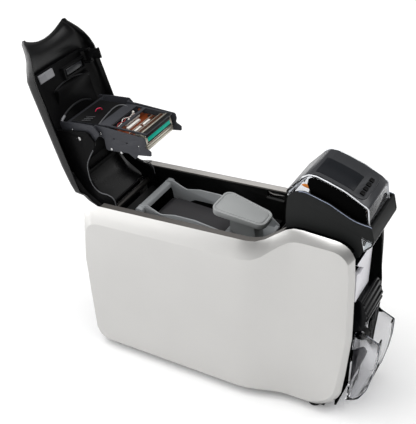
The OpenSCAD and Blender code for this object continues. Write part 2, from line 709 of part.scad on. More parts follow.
// Timing belt around the three roller pulleys
module drive_belt() {
  gap = 0.3;
  thick = 1.2;
  module loop(r) {
    for (x = [platen_x, exit_x]) translate([x, platen_z]) circle(r = r);
    translate([platen_x, platen_z - r]) square([exit_x - platen_x, 2 * r]);
  }
  color([0.12, 0.12, 0.12]) placed() along_y(belt_y.x, belt_y.y) difference() {
    loop(pulley_r + gap + thick);
    loop(pulley_r + gap);
  }
}

// ---------- lid, drawn shut and turned open by lid_pose ----------

// Steel rod across the tub that the lid's arms turn on
module hinge_rod() {
  color(steel) placed() rod(pivot, hinge_r, -tub_half(0) - tub_wall, tub_half(0) + tub_wall);
}

lid_x = [hinge_x + 6.5, feeder_x - 3];
lid_half_line = rounded([[lid_x[0] - 1, 55.5, 0], [67, 58.6, 0], [77, rear_half - 8.7, 7],
    [242, rear_half - 8.7, 40],
                         [274, 53, 30], [feeder_x, 44, 0]], closed = false);
lid_edge_rear = [[lid_x[0] - 1, 223], [50, 231], [57, 238], [62, rim_z(62) + lid_gap]];
function lid_half(x) = lookup(x, lid_half_line);
// Height of the lid's lower edge
function lid_edge(x) = x < 62 ? lookup(x, lid_edge_rear) : min(rim_z(x) + lid_gap, 269);
// Height of the lid's side above its lower edge, and of the crown above the side
function lid_side(x) = lookup(x, [[lid_x[0], 2.8], [66, 3.5], [90, 7], [115, 8], [240, 8], [270, 6],
    [feeder_x, 2.8]]);
function crown_at(x) =
  lookup(x, [[lid_x[0], 4], [50, 5.2], [66, 9], [92, 13], [117, lid_crown], [240, lid_crown], [270, 9.5],
      [feeder_x, 4.6]]);
// How far the lid's front edge is scooped back in the middle
function scoop(x) = lookup(x, [[200, 0], [250, 2], [275, 8], [feeder_x, 13.5]]);

// Points across the lid at x, drawn in by t from the outer surface
function lid_ring(x, t, n) =
  let (w = lid_half(x) - t, b = lid_edge(x), s = lid_side(x), c = max(crown_at(x) - t, 0.8), e = 2 / 2.6)
  [for (i = [0:n]) let (a = 180 * (i - 1) / (n - 2), edge = i == 0 || i == n,
      y = edge ? (i == 0 ? -w : w) : -w * sign(cos(a)) * pow(abs(cos(a)), e),
      z = edge ? b : b + s + c * pow(abs(sin(a)), e))
    [x - scoop(x) * (1 - pow(y / w, 2)), y, z]];

// Black moulded shell of the lid, open below and at both ends
module lid_shell() {
  n = 22;
  stations = 24;
  rings = [for (k = [0:stations])
    let (x = mix(lid_x[0], lid_x[1], (1 - cos(180 * k / stations)) / 2), outer = lid_ring(x, 0, n),
        inner = lid_ring(x, lid_wall, n))
    concat(outer, [for (i = [n:-1:0]) inner[i]])];
  m = 2 * (n + 1);
  last = stations * m;
  cap = [for (i = [0:n - 1]) [i, i + 1, m - 2 - i, m - 1 - i]];
  strips = [for (k = [0:stations - 1], j = [0:m - 1]) let (a = k * m + j, b = k * m + (j + 1) % m)
              each [[a, b, b + m], [a, b + m, a + m]]];
  color(black) lid_pose()
    polyhedron([for (r = rings) each r],
               concat([for (f = cap) each [[f[2], f[1], f[0]], [f[3], f[2], f[0]]]], strips,
                      [for (f = cap) each [[f[0], f[1], f[2]] + [last, last, last],
                          [f[0], f[2], f[3]] + [last, last, last]]]));
}

arm_y = [carrier_root_half + 1.5, carrier_root_half + 4.5];
float_at = [148.5, 230];
liner_t = 2;
liner_x = [100, feeder_x - 50];
function liner_z(x) = rim_z(x) + liner_depth;
latch_y = tub_half(0) - 5;
latch_z = 258;
latch_span = [latch_x - 7, latch_x + 7];

// Inner frame of the lid: liner, hinge arms, latch ears, ridge and pocket
module lid_frame() {
  arm = [[hinge_x - 7, 213, 6], [44, 206, 6], [57, 206, 8], [68, 227, 8], [86.5, 235, 20], [109, 232, 12],
         [122, 221.5, 12], [139, 205.5, 8], [157, 214, 8], [163, liner_z(163) + 0.1, 0],
             [liner_x[0], liner_z(100), 0],
         [90, 256, 0], [80, 252, 0], [70, 247.2, 0], [60, 238.6, 0], [48, 228.2, 4],
             [hinge_x - 2, 226.6, 6]];
  slab = [[liner_x[0], liner_z(liner_x[0])], [liner_x[1], liner_z(liner_x[1])],
          [liner_x[1], liner_z(liner_x[1]) + liner_t], [liner_x[0], liner_z(liner_x[0]) + liner_t]];
  ridge_x = liner_x[1] - 54;
  under = liner_z(ridge_x + 19) + 0.4;
  pocket_x = latch_x - 15;
  color(charcoal) lid_pose() {
    difference() {
      union() {
        both_sides() along_y(arm_y.x, arm_y.y) polygon(rounded(arm, n = 4));
        along_y(-arm_y.y, arm_y.y) polygon(slab);
        along_y(-arm_y.x - 0.1, arm_y.x + 0.1) polygon([[88, 247], [93, 247], [93, 253], [88, 253]]);
        along_y(-28, arm_y.x - 1.5)
          polygon([[ridge_x, under], [ridge_x + 18, under - 8], [ridge_x + 23, under - 8],
              [ridge_x + 24, under]]);
        both_sides() for (x = [liner_x[0] + 18, liner_x[0] + 70, liner_x[1] - 12])
          translate([x, 30, liner_z(x) + 1]) cylinder(r = 3, h = 4.9);
        // ring around the pocket
        block([pocket_x, 0, liner_z(pocket_x + 8) - 5], [pocket_x + 17, arm_y.x + 0.5,
            liner_z(pocket_x + 8) + 1]);
        for (x = [latch_span[0] - 2.8, latch_span[1] + 0.5])
          block([x, arm_y.x + 0.5, latch_z - 4], [x + 2.3, latch_y + 3, liner_z(latch_x + 7) + 1]);
      }
      both_sides() {
        rod(pivot, hinge_r + fit, arm_y.x - 4, arm_y.y + 4);
        rod(float_at, shaft_r, arm_y.x - 4, arm_y.y + 4);
      }
      block([pocket_x + 3, 3, liner_z(pocket_x + 8) - 6],
            [pocket_x + 14, arm_y.x - 2.5, liner_z(pocket_x + 8) - 1]);
      translate([latch_x - 20, latch_y, latch_z]) rotate([0, 90, 0]) cylinder(r = 2, h = 40);
    }
  }
}

// Pale plate on the liner beside the pocket
module lid_window() {
  x0 = liner_x[1] - 14;
  color([0.72, 0.73, 0.74]) lid_pose() along_y(-arm_y.x + 2.5, -15)
    polygon([for (p = [[0, 0], [12, 0], [11, -1.8], [1, -1.8]]) [x0 + p.x, liner_z(x0 + p.x) + p.y]]);
}

// Sprung hook at the lid's free end, turning on a pin along X
module lid_latch() {
  tip_z = rim_z(latch_x) - 14;
  color(charcoal) lid_pose() {
    difference() {
      union() {
        block([latch_span[0], latch_y - 2.2, latch_z - 4.5], [latch_span[1], latch_y + 3.6, latch_z + 4]);
        block([latch_span[0], latch_y + 1.4, tip_z], [latch_span[1], latch_y + 3.6, latch_z]);
        translate([latch_span[0], 0, 0]) rotate([90, 0,
            90]) linear_extrude(height = latch_span[1] - latch_span[0])
          polygon([[latch_y + 3.6, tip_z], [latch_y + 6.6, tip_z + 3], [latch_y + 6.6, tip_z + 4.5],
              [latch_y + 3.6, tip_z + 5]]);
      }
      translate([latch_x - 20, latch_y, latch_z]) rotate([0, 90, 0]) cylinder(r = 2 + fit, h = 40);
    }
  }
}

// Pins on which the head carrier floats in the lid's arms, and the latch's pin
module float_pins() {
  color(steel) lid_pose() {
    both_sides() {
      rod(float_at, shaft_r, carrier_root_half - sheet - 0.5, arm_y.y);
      rod(float_at, shaft_r + 1.8, carrier_root_half - sheet - 2, carrier_root_half - sheet - 0.4);
    }
    translate([latch_span[0] - 2.8, latch_y, latch_z]) rotate([0, 90, 0])
      cylinder(r = 2, h = latch_span[1] - latch_span[0] + 5.6);
  }
}

// ---------- print head ----------

root_z = 247;                       // underside of the carrier's flange
// Frame of the carrier's front wall: X runs up the wall and Y out of its front face
wall_foot = [141, 134];
wall_top = [158, 191];
module on_wall(y0, y1) {
  d = wall_top - wall_foot;
  along_y(y0, y1) translate(wall_foot) rotate(atan2(d.y, d.x)) children();
}

// Folded sheet carrier that holds the print head under the lid
module head_carrier() {
  rear = [[122, 257, 2], [173, 257, 2], [170, 234, 6], [164, 205, 2], [150, 197, 3], [145.5, 205, 5],
      [124.4, 226.4, 10]];
  front = [[146, 206, 0], [162, 206, 0], [158, 191, 4], [139.2, 133.3, 3], [132, 133.3, 1], [126, 136.5, 2],
           [119.5, 129.5, 1], [113.5, 131, 1.5], [116, 151.4, 2], [110.4, 157, 1.5], [119.8, 165.8, 3],
               [125.6, 199.5, 4],
           [143.6, 197, 4]];
  wall = [[157.5, 205], [167, root_z], [169, root_z], [160, 205], [wall_top.x, wall_top.y],
      [wall_foot.x + 1, wall_foot.y],
          [wall_foot.x - 1, wall_foot.y + 0.6], [wall_top.x - 2, wall_top.y + 0.6]];
  float_room = 13;
  slots = [[-carrier_half, -28], [-12, 8], [carrier_half - 5, carrier_root_half - 4]];
  color(charcoal) lid_pose() difference() {
    union() {
      both_sides() {
        along_y(carrier_root_half - sheet, carrier_root_half) polygon(rounded(rear, n = 3));
        along_y(carrier_half - sheet, carrier_half) polygon(rounded(front, n = 3));
        along_y(carrier_half - sheet, carrier_root_half) polygon([[146, 206 - sheet],
            [161.6, 206 - sheet], [162, 206], [146, 206]]);
      }
      along_y(-carrier_root_half, carrier_root_half) polygon([[126, root_z], [171, root_z],
          [171, root_z + sheet], [126, root_z + sheet]]);
      along_y(-head_half - 1, head_half + 1) polygon(wall);
      // ears of the film guide
      for (y = [guide_y.x, guide_y.y - 1.6]) along_y(y, y + 1.6) polygon([[132, root_z], [142, root_z],
          [139, 239.6], [135, 239.6]]);
    }
    both_sides() {
      rod(float_at, shaft_r + 0.2, 40, 60);
      block([float_at.x - shaft_r - 0.2, 40, float_at.y - float_room],
          [float_at.x + shaft_r + 0.2, 60, float_at.y]);
      // lightening and screw holes near the tip
      for (p = [[128, 146], [134, 163], [141, 182]]) rod(p, 1.3, 38, 43);
    }
    // two long windows with a bar between them
    on_wall(-head_half + 1.5, head_half - 1.5) translate([6, -8]) square([34, 16]);
    on_wall(-head_half + 1.5, head_half - 1.5) translate([44.5, -8]) square([10.5, 16]);
    rod(guide_at, 1.5 + fit, 0, 50);
    for (y = slots) block([130, y.x, root_z - 1], [164, y.y, root_z + sheet + 1]);
  }
}

guide_at = [137, 243.4];
guide_y = [10, head_half + 1.5];
// Small roller that guides the ribbon film
module film_guide() {
  color(steel) lid_pose() {
    rod(guide_at, 1.5, guide_y.x, guide_y.y);
    rod(guide_at, 3, guide_y.x + 2, guide_y.y - 2);
  }
}

head_z = path_z + 1;                // underside of the head's bar
// Head bar with its heat sink: a strip stands proud between two grooves on the underside
module print_head() {
  color([0.86, 0.84, 0.78]) lid_pose() difference() {
    along_y(-head_half, head_half) polygon(rounded([[118, head_z + 1.6, 1.5], [124.6, head_z + 0.4, 0.6],
      [138.5, head_z, 1], [140.2, head_z + 3, 0], [143.8, head_z + 14, 0], [120, head_z + 14, 0],
      [118, head_z + 8, 2]]));
    for (x = [121.6, 125.4, 136]) block([x, -head_half - 1, head_z - 1],
        [x + 1.2, head_half + 1, head_z + 2.6]);
    for (i = [0:4])
      block([121 + 4.4 * i, -head_half - 1, head_z + 7], [123 + 4.4 * i, head_half + 1, head_z + 15]);
  }
}

// Heater line on its ceramic strip
module heater_strip() {
  color([0.0, 0.55, 0.5]) lid_pose()
    along_y(-head_half + 5, head_half - 5)
      polygon([[129.4, head_z - 0.4], [134.6, head_z - 0.4], [134.6, head_z + 0.1],
          [129.4, head_z + 0.25]]);
}

board_gap = 7;
board_span = [16.5, 52];
// Head board behind the window, on spacers from the front wall
module head_board() {
  color([0.75, 0.35, 0.1]) lid_pose() {
    on_wall(-head_half + 2.5, head_half - 2.5)
      translate([board_span.x, board_gap]) square([board_span.y - board_span.x, 1.2]);
    for (y = [-head_half + 3.5, head_half - 3.5], s = [board_span.y - 3]) on_wall(y - 1.5,
        y + 1.5) translate([s - 1.5, 2.15]) square([3, board_gap - 2.15]);
  }
}

// Plug strips on the head board
module head_connectors() {
  color("white") lid_pose() {
    for (r = [[34, 38, -22, 8], [42, 45, -14, 20], [22, 25, -24, -8], [22, 25, -2, 14]])
      on_wall(r[2], r[3]) translate([r[0], board_gap - 3]) square([r[1] - r[0], 3]);
  }
}

// Screws of the carrier's side plates
module carrier_screws() {
  color(steel) lid_pose() both_sides() {
    for (p = [[121, 176], [127, 190], [150, 200]]) {
      rod(p, 1.8, carrier_half, carrier_half + 1);
    }
    for (p = [[160, 240], [132, 236]]) rod(p, 2, carrier_root_half, carrier_root_half + 0.8);
  }
}

// Helical wire along Z, wound as one swept tube
module coil(r, wire, height, turns) {
  sides = 6;
  steps = 12 * turns;
  pts = [for (i = [0:steps]) let (a = 360 * turns * i / steps, z = wire + (height - 2 * wire) * i / steps)
    for (k = [0:sides - 1]) let (b = 360 * k / sides, q = r + wire * cos(b)) [q * cos(a), q * sin(a),
        z + wire * sin(b)]];
  polyhedron(pts, concat([[for (k = [0:sides - 1]) k]],
    [for (i = [0:steps - 1], k = [0:sides - 1]) let (a = i * sides + k, b = i * sides + (k + 1) % sides)
       each [[a, a + sides, b + sides], [a, b + sides, b]]],
    [[for (k = [sides - 1:-1:0]) steps * sides + k]]));
}

// Springs that press the carrier down from the liner
module head_springs() {
  x = 150;
  low = root_z + sheet + 0.2;
  color(steel) lid_pose() both_sides() translate([x, 20, low]) coil(5, 0.7, liner_z(x) - low - 0.4, 4);
}

// ---------- ribbon cartridge ----------

supply_at = [95, 203];
take_up_at = [196, 200];
// Open grey frame that carries both spools
module cartridge_frame() {
  top = [[73, 229, 0], [73, 236, 1], [86, 238.7, 5], [107, 230.4, 12], [128, 235.6, 16],
      [159, 236.8, 20], [200, 232, 40],
         [234.7, 227, 8], [250.5, 214.2, 3], [250.5, 207, 1], [228, 206, 4], [206, 206, 0],
             [204, 193, 4], [188, 193, 4],
         [182, 217, 8], [147, 218.7, 10], [121, 217.5, 8], [104, 207, 6], [99, 195, 4], [90, 196, 4],
             [85, 222, 5], [82, 229, 0]];
  color(frame_grey) placed() difference() {
    union() {
      both_sides() {
        along_y(cart_half - cart_wall, cart_half) polygon(rounded(top, n = 3));
        // feet on the tub's rear ledges and shoulders on the front ones
        block([73, cart_half + 4.3, 224.3], [80, cart_half + 8, 230]);
        block([227, cart_half - 0.1, 206.3], [241, cart_half + 8, 211]);
      }
      along_y(-cart_half - 8, cart_half + 8) polygon(rounded([[73, 229, 1], [84, 229, 1], [82, 235.8, 3],
          [73, 235.8, 1.5]]));
      along_y(-cart_half, cart_half) polygon([[243, 206.7], [250.5, 206.9], [250.5, 213], [246, 214]]);
      along_y(-cart_half, cart_half) polygon([[210.5, 207.5], [246, 207.5], [246, 209.7], [210.5, 209.7]]);
      // curved cover over the take-up roll
      difference() {
        rod(take_up_at, take_up_r + 4.5, -cart_half, cart_half);
        rod(take_up_at, take_up_r + 2.5, -cart_half - 1, cart_half + 1);
        block([take_up_at.x - 30, -50, take_up_at.y - 30], [take_up_at.x + 30, 50, take_up_at.y + 8]);
        block([take_up_at.x - 30, -50, take_up_at.y - 30], [take_up_at.x - 4, 50, take_up_at.y + 40]);
      }
    }
    for (p = [supply_at, take_up_at]) rod(p, shaft_r + fit, -50, 50);
  }
}

// Overhanging handle on its pedestal
module cartridge_grip() {
  outline = [[176, -27, 11], [250, -18, 12], [250, 18, 12], [176, 27, 11]];
  color([0.63, 0.64, 0.64]) placed() {
    intersection() {
      translate([0, 0, 200]) linear_extrude(height = 80) polygon(rounded(outline));
      along_y(-40, 40) polygon([[170, 256.6], [255, 243.6], [255, 236.5], [170, 248]]);
    }
    along_y(-12, 12) polygon([[213.5, 209.8], [238, 209.8], [233, 241], [198, 246], [199, 219],
        [206, 217]]);
  }
}

module supply_spool() {
  p = supply_at;
  color([0.15, 0.15, 0.17]) placed() {
    rod(p, supply_r, -film_half, film_half);
    both_sides() rod(p, 6, film_half, cart_half - cart_wall - 0.5);
    rod(p, shaft_r, -cart_half - 1.5, cart_half + 1.5);
  }
}

take_up_teeth = 30;
ribbon_teeth = 20;
ribbon_angle = -72.5;
ribbon_gap = (take_up_teeth + ribbon_teeth) * tooth / 2;
ribbon_at = take_up_at + ribbon_gap * [cos(ribbon_angle), sin(ribbon_angle)];
take_up_gear_y = [cart_half + 0.8, cart_half + 3.8];

// Take-up roll with its gear outside the cartridge
module take_up_spool() {
  p = take_up_at;
  color([0.15, 0.15, 0.17]) placed() {
    rod(p, take_up_r, -film_half, film_half);
    both_sides() rod(p, 6, film_half, cart_half - cart_wall - 0.5);
    rod(p, shaft_r, -cart_half - 1.5, take_up_gear_y.y + 0.5);
    gear_at(p, take_up_teeth, take_up_gear_y.x, take_up_gear_y.y);
  }
}

module ribbon_drive_gear() {
  color("ivory") placed() {
    gear_at(ribbon_at, ribbon_teeth, take_up_gear_y.x - 0.2, take_up_gear_y.y + 0.2,
            turn = pinion_turn(take_up_teeth, ribbon_teeth, ribbon_angle));
    rod(ribbon_at, 2, take_up_gear_y.y, take_up_gear_y.y + 1.4);
  }
}

// Motor of the ribbon drive, on the tub's left wall
module ribbon_motor() {
  color([0.35, 0.35, 0.37]) placed()
    rod(ribbon_at, 11.5, take_up_gear_y.y + 1.6, tub_half(0));
}

// Film between the two rolls
module ribbon_film() {
  a = [supply_at.x + 2, supply_at.y + supply_r + 0.6];
  b = [take_up_at.x - 2, take_up_at.y + take_up_r + 0.6];
  color([0.1, 0.1, 0.12, 0.9]) placed() along_y(-film_half, film_half) polygon([a, b, b + [0, 0.5],
      a + [0, 0.5]]);
}

// ---------- card feeder ----------

hopper_z = pick_z + pick_r - 0.3;   // top of the hopper's floor
hood_pin = [feeder_x + 9, 306];
hood_pin_r = 2.5;
feeder_rear_z = 296;
card_half = 28.2;

// Black feeder: two cheeks with a hopper floor, guides and roller ribs between them
module feeder_housing() {
  low = deck_z + deck_t + clear;
  f = feeder_x;
  cheek = [[f + 2, low, 0], [f, 292, 60], [f + 1, 322, 16], [f + 21, 329.5, 20], [f + 55, 321, 60],
      [f + 88, 306, 60],
           [f + 109.5, 304.2, 3], [f + 115, 283, 1.5], [f + 97.6, 287.4, 1], [f + 102.6, 267.4, 2],
               [f + 96, low, 5]];
  color([0.14, 0.14, 0.14]) placed() difference() {
    union() {
      both_sides() along_y(cheek_half - cheek_wall, cheek_half) polygon(rounded(cheek));
      along_y(-cheek_half + 1, cheek_half - 1) {
        polygon([[f + 2, low], [f + 4.6, low], [f + 3.2, feeder_rear_z], [f + 0.6, feeder_rear_z]]);
        polygon([[f + 3, hopper_z - 2.5], [f + 98, hopper_z - 2.5], [f + 98, hopper_z], [f + 3, hopper_z]]);
        // wall at the front of the cards and the bar under the hood
        polygon([[f + 95.5, low + 1], [f + 98, low + 1], [f + 98, 287.2], [f + 114.6, 283.2],
            [f + 109.6, 303.4],
                 [f + 107.6, 303.4], [f + 106.4, 299], [f + 95.5, 296]]);
      }
      both_sides() {
        block([f + 12, card_half, hopper_z - 1], [f + 96, card_half + 1.8, hopper_z + 16]);
        block([pick_x - 8, 14, low], [pick_x + 8, 16.6, hopper_z - 1]);
      }
    }
    both_sides() rod(hood_pin, hood_pin_r + fit, cheek_half - cheek_wall - 1, cheek_half - 0.8);
    block([pick_x - 11, -13.4, hopper_z - 4], [pick_x + 11, 13.4, hopper_z + 1]);
    rod([pick_x, pick_z], shaft_r + fit, -20, 20);
  }
}

// Clear hollow wedge in the notch under the feeder's bar, open to the rear
module feeder_lip() {
  f = feeder_x;
  wall = 1.6;
  color([0.7, 0.75, 0.78, 0.6]) placed() difference() {
    along_y(-cheek_half, cheek_half)
      polygon(rounded([[f + 98.3, 286.7, 0.6], [f + 114.4, 282.7, 0.8], [f + 112.4, 277, 3],
          [f + 103.2, 266.6, 0.4],
                       [f + 103, 268.4, 0.4]]));
    along_y(-cheek_half + wall, cheek_half - wall)
      polygon([[f + 98, 284.4], [f + 111.8, 281.2], [f + 110.8, 277.8], [f + 102, 268]]);
  }
}

module pick_roller() {
  p = [pick_x, pick_z];
  color(charcoal) placed() {
    rod(p, pick_r, -12, 12);
    rod(p, shaft_r, -17.5, 19);
    rod(p, 5, 17, 19.4);
  }
}

// Motor of the pick roller, hung under the hopper's floor
module pick_motor() {
  color([0.35, 0.35, 0.37]) placed() {
    rod([pick_x, pick_z], 4.9, 20, 36);
    block([pick_x - 4, 24, pick_z], [pick_x + 4, 32, hopper_z - 2.5]);
  }
}

// Weight that rides on the stack of cards
module card_weight() {
  z = hopper_z + 2.6;
  color(charcoal) placed() difference() {
    union() {
      block([feeder_x + 30, -24, z], [feeder_x + 86, 24, z + 5]);
      both_sides() block([feeder_x + 50, 23.9, z], [feeder_x + 62, card_half - 0.5, z + 5]);
      along_y(-5, 5) polygon(rounded([[feeder_x + 52, z + 4.9, 0], [feeder_x + 60, z + 4.9, 0],
          [feeder_x + 62, z + 12, 2], [feeder_x + 50, z + 12, 2]]));
    }
    block([feeder_x + 36, -18, z + 3], [feeder_x + 44, 18, z + 6]);
  }
}

// Amber guide at the hopper's rear
module card_gate() {
  f = feeder_x;
  color([0.9, 0.55, 0.05, 0.9]) placed() along_y(-22, 18)
    polygon(rounded([[f + 4.8, hopper_z, 0], [f + 7, hopper_z, 0], [f + 7, 297, 2], [f + 11, 302, 1.4],
        [f + 9, 304, 0.8], [f + 4.8, 299, 3]]));
}

// Foot of the hood's sloping top and its slope; on it X runs down the slope and Z out of it
slope_foot = [feeder_x + 70, 339.8];
slope = atan2(10.4, 23.7);
module on_slope() { placed() translate([slope_foot.x, 0, slope_foot.y]) rotate([0, slope, 0]) children(); }

button_y = [-20, -9, 2, 13];
button_size = [5.2, 7];
button_s = 18.5;

// Clear smoked hood over the hopper
module hood_cover() {
  f = feeder_x;
  outer = [[f - 3, 314, 3], [f - 4, 320, 4], [f + 7, 333, 20], [f + 17, 345, 12], [f + 24, 349.8, 10],
      [f + 34, 350.2, 12],
           [f + 49, 346.4, 40], [f + 70, 339.8, 60], [f + 93.7, 329.4, 12], [f + 101.5, 323, 6],
               [f + 105.5, 300.5, 1],
           [f + 90, 300.5, 8], [f + 58, 314, 30], [f + 28, 322, 10], [f + 16, 319, 4], [f + 14.5, 303, 3],
           [f + 9, 300.4, 3], [f + 4, 303, 3], [f + 4, 312, 3]];
  inner = [[f - 1, 298, 0], [f - 1, 319.2, 3], [f + 8.6, 331.6, 20], [f + 18.4, 343.2, 11],
      [f + 24.6, 347.6, 8],
           [f + 33.8, 348, 11], [f + 48.4, 344.3, 40], [f + 69.3, 337.8, 60], [f + 92.6, 327.5, 10],
               [f + 99.7, 322, 5],
           [f + 104, 298, 0], [f + 60, 290, 0]];
  color(smoke) difference() {
    placed() difference() {
      along_y(-hood_half, hood_half) polygon(rounded(outer));
      along_y(-hood_half + hood_wall, hood_half - hood_wall) polygon(rounded(inner));
    }
    on_slope() for (y = button_y)
      translate([button_s - button_size.x / 2 - 0.3, y - button_size.y / 2 - 0.3,
          -8]) cube([button_size.x + 0.6, button_size.y + 0.6, 12]);
  }
  color(smoke) placed() both_sides() rod(hood_pin, hood_pin_r, hood_half - 0.1, cheek_half - 1.2);
}

panel_t = 0.8;
// Black panel on the hood's top around the display and the buttons, round at its front corners
module hood_panel() {
  f = feeder_x;
  half = hood_half - 2.6;
  path = [[f + 25, 350, 0], [f + 34, 350.2, 12], [f + 49, 346.4, 40], [f + 70, 339.8, 60],
      [f + 95, 328.7, 0]];
  low = [for (p = rounded(path, closed = false)) p + [0, 0.25]];
  plan = [[f + 20, -half, 0], [f + 94.4, -half, 13], [f + 94.4, half, 13], [f + 20, half, 0]];
  color(black) difference() {
    placed() intersection() {
      along_y(-half, half) polygon(concat(low, [for (i = [len(low) - 1:-1:0]) low[i] + [0.2, panel_t]]));
      translate([0, 0, 300]) linear_extrude(height = 60) polygon(rounded(plan));
    }
    on_slope() for (y = button_y)
      translate([button_s - button_size.x / 2 - 0.3, y - button_size.y / 2 - 0.3, -8])
        cube([button_size.x + 0.6, button_size.y + 0.6, 12]);
  }
}

// Display glass in the panel
module display_screen() {
  f = feeder_x;
  path = [[f + 29, 350.4, 0], [f + 34, 350.2, 12], [f + 49, 346.4, 40], [f + 70, 339.8, 60],
      [f + 78, 336.2, 0]];
  low = [for (p = rounded(path, closed = false)) p + [0.25, 0.3 + panel_t]];
  color([0.13, 0.15, 0.17]) placed() along_y(-27, 10)
    polygon(concat(low, [for (i = [len(low) - 1:-1:0]) low[i] + [0.1, 0.5]]));
}

// One push button through the panel and the hood
module push_button(i) {
  y = button_y[i];
  color([0.05, 0.05, 0.06]) on_slope() {
    translate([button_s, y, -3.4]) linear_extrude(height = 3.4 + panel_t + 0.5 + button_travel)
      square(button_size, center = true);
    translate([button_s, y, -5]) linear_extrude(height = 1.6) square(button_size + [2, 2], center = true);
  }
}
module button_back() { push_button(0); }
module button_up() { push_button(1); }
module button_down() { push_button(2); }
module button_select() { push_button(3); }

// ---------- output bin ----------

// Clear bin with ears, a curved front and a finger notch
module output_bin() {
  f = body_front;
  side = [[f - 10, 104, 0], [f - 10, 12, 0], [f - 13, 9, 0], [f + 5, 17, 20], [f + 16, 40, 30],
      [f + 23, 75, 40],
          [f + 26, 100, 20], [f + 26, 123, 2], [f + 8, 131, 8], [f + 1, 137, 4], [f - 9, 126, 2]];
  hollow = [[f - 8, 140, 0], [f - 8, 14, 3], [f + 3.4, 19.5, 18], [f + 13.8, 40.5, 30],
      [f + 20.8, 75.5, 40],
            [f + 23.8, 100, 20], [f + 23.8, 140, 0]];
  color([0.85, 0.9, 0.93, 0.4]) placed() difference() {
    along_y(-bin_half, bin_half) polygon(rounded(side));
    along_y(-bin_half + bin_wall, bin_half - bin_wall) polygon(rounded(hollow));
    // the finger notch, open to the top and round below
    block([f + 8, -bin_notch / 2, 66], [f + 40, bin_notch / 2, 160]);
    translate([f - 4, 0, 66]) rotate([0, 90, 0]) cylinder(r = bin_notch / 2, h = 50);
    block([f - 12, -bin_half + 6, 98], [f - 4, bin_half - 6, 140]);
  }
}

// Guide plate in the bin for short cards
module bin_guide() {
  f = body_front;
  color([0.5, 0.5, 0.5]) placed() along_y(-26.5, -24.6)
    polygon(rounded([[f - 8, 96, 0], [f + 5, 108, 3], [f + 10, 102, 2], [f + 8, 92, 4], [f - 6, 46, 2],
        [f - 8, 46, 0]]));
}

side_panel_right();
side_panel_left();
base_tray();
rubber_feet();
tub();
rim_trim();
rear_cover();
power_inlet();
data_ports();
power_button();
main_board();
front_frame();
front_fascia();
exit_housing();
exit_roller();
pressure_roller();
feed_roller();
platen_roller();
path_rails();
path_plates();
drive_motor();
motor_pinion();
drive_belt();
ribbon_motor();
ribbon_drive_gear();
hinge_rod();
lid_shell();
lid_frame();
pick_motor();
lid_window();
lid_latch();
film_guide();
exit_idler();
float_pins();
head_springs();
head_carrier();
print_head();
heater_strip();
head_board();
head_connectors();
carrier_screws();
cartridge_frame();
cartridge_grip();
supply_spool();
take_up_spool();
ribbon_film();
feeder_housing();
feeder_lip();
pick_roller();
card_weight();
card_gate();
hood_cover();
hood_panel();
display_screen();
button_back();
button_up();
button_down();
button_select();
output_bin();
bin_guide();
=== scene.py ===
"""Dresses the id card printer with rounded skins, finishes, small fittings and a studio."""
import json
import logging
import math
from dataclasses import dataclass
from enum import Enum
from typing import Callable, Sequence

import bpy
from mathutils import Euler, Matrix, Vector

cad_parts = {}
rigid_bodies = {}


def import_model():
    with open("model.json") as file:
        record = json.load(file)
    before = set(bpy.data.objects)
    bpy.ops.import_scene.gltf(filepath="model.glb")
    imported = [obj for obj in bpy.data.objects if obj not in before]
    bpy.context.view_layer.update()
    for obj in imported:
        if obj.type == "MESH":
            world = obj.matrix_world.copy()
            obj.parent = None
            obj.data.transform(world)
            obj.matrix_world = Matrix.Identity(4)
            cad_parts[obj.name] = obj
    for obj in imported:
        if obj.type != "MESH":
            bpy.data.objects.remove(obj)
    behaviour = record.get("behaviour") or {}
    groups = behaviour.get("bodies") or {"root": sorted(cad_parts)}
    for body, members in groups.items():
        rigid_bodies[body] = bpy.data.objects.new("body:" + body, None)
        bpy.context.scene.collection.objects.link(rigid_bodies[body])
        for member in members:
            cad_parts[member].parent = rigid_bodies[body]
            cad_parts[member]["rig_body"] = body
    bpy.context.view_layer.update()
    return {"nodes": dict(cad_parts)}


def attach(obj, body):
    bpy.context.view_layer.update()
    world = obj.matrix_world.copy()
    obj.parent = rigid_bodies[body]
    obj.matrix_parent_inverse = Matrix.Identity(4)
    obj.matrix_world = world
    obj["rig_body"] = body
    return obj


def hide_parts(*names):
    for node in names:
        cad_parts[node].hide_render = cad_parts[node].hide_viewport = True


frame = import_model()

log = logging.getLogger("card_printer")

MM = 0.001
MERGE = 0.01 * MM
FLAT_ANGLE = math.radians(0.4)   # faces that meet flatter than this become one

Colour = tuple[float, float, float]
Spot = tuple[float, float, float]   # millimetres: X from the rear edge, Y from the middle, Z from the table
Flat = tuple[float, float]   # two of a spot's three numbers
Box = tuple[Spot, Spot]   # its lowest and highest corner
Path = tuple[Spot, ...]
Outline = tuple[Flat, ...]
Piece = bpy.types.Object
Tree = bpy.types.NodeTree


# ----- small tools -----


def linear(screen: Colour) -> Colour:
    """Turns a screen's colour, 0 to 255, into the linear values that shaders take."""
    parts = (v / 255 for v in screen)
    return tuple(v / 12.92 if v <= 0.04045 else ((v + 0.055) / 1.055) ** 2.4 for v in parts)


def select_only(piece: Piece) -> None:
    """Leaves only this piece selected, and active.

    Args:
        piece: the piece.
    """
    bpy.ops.object.select_all(action="DESELECT")
    piece.select_set(True)
    bpy.context.view_layer.objects.active = piece


def apply_modifier(piece: Piece, kind: str, **settings: object) -> None:
    """Adds a modifier to a piece and applies it.

    Args:
        piece: the piece to change.
        kind: the modifier's kind, such as BEVEL.
        settings: the modifier's own settings.
    """
    select_only(piece)
    modifier = piece.modifiers.new(kind.lower(), kind)
    for name, value in settings.items():
        setattr(modifier, name, value)
    bpy.ops.object.modifier_apply(modifier=modifier.name)


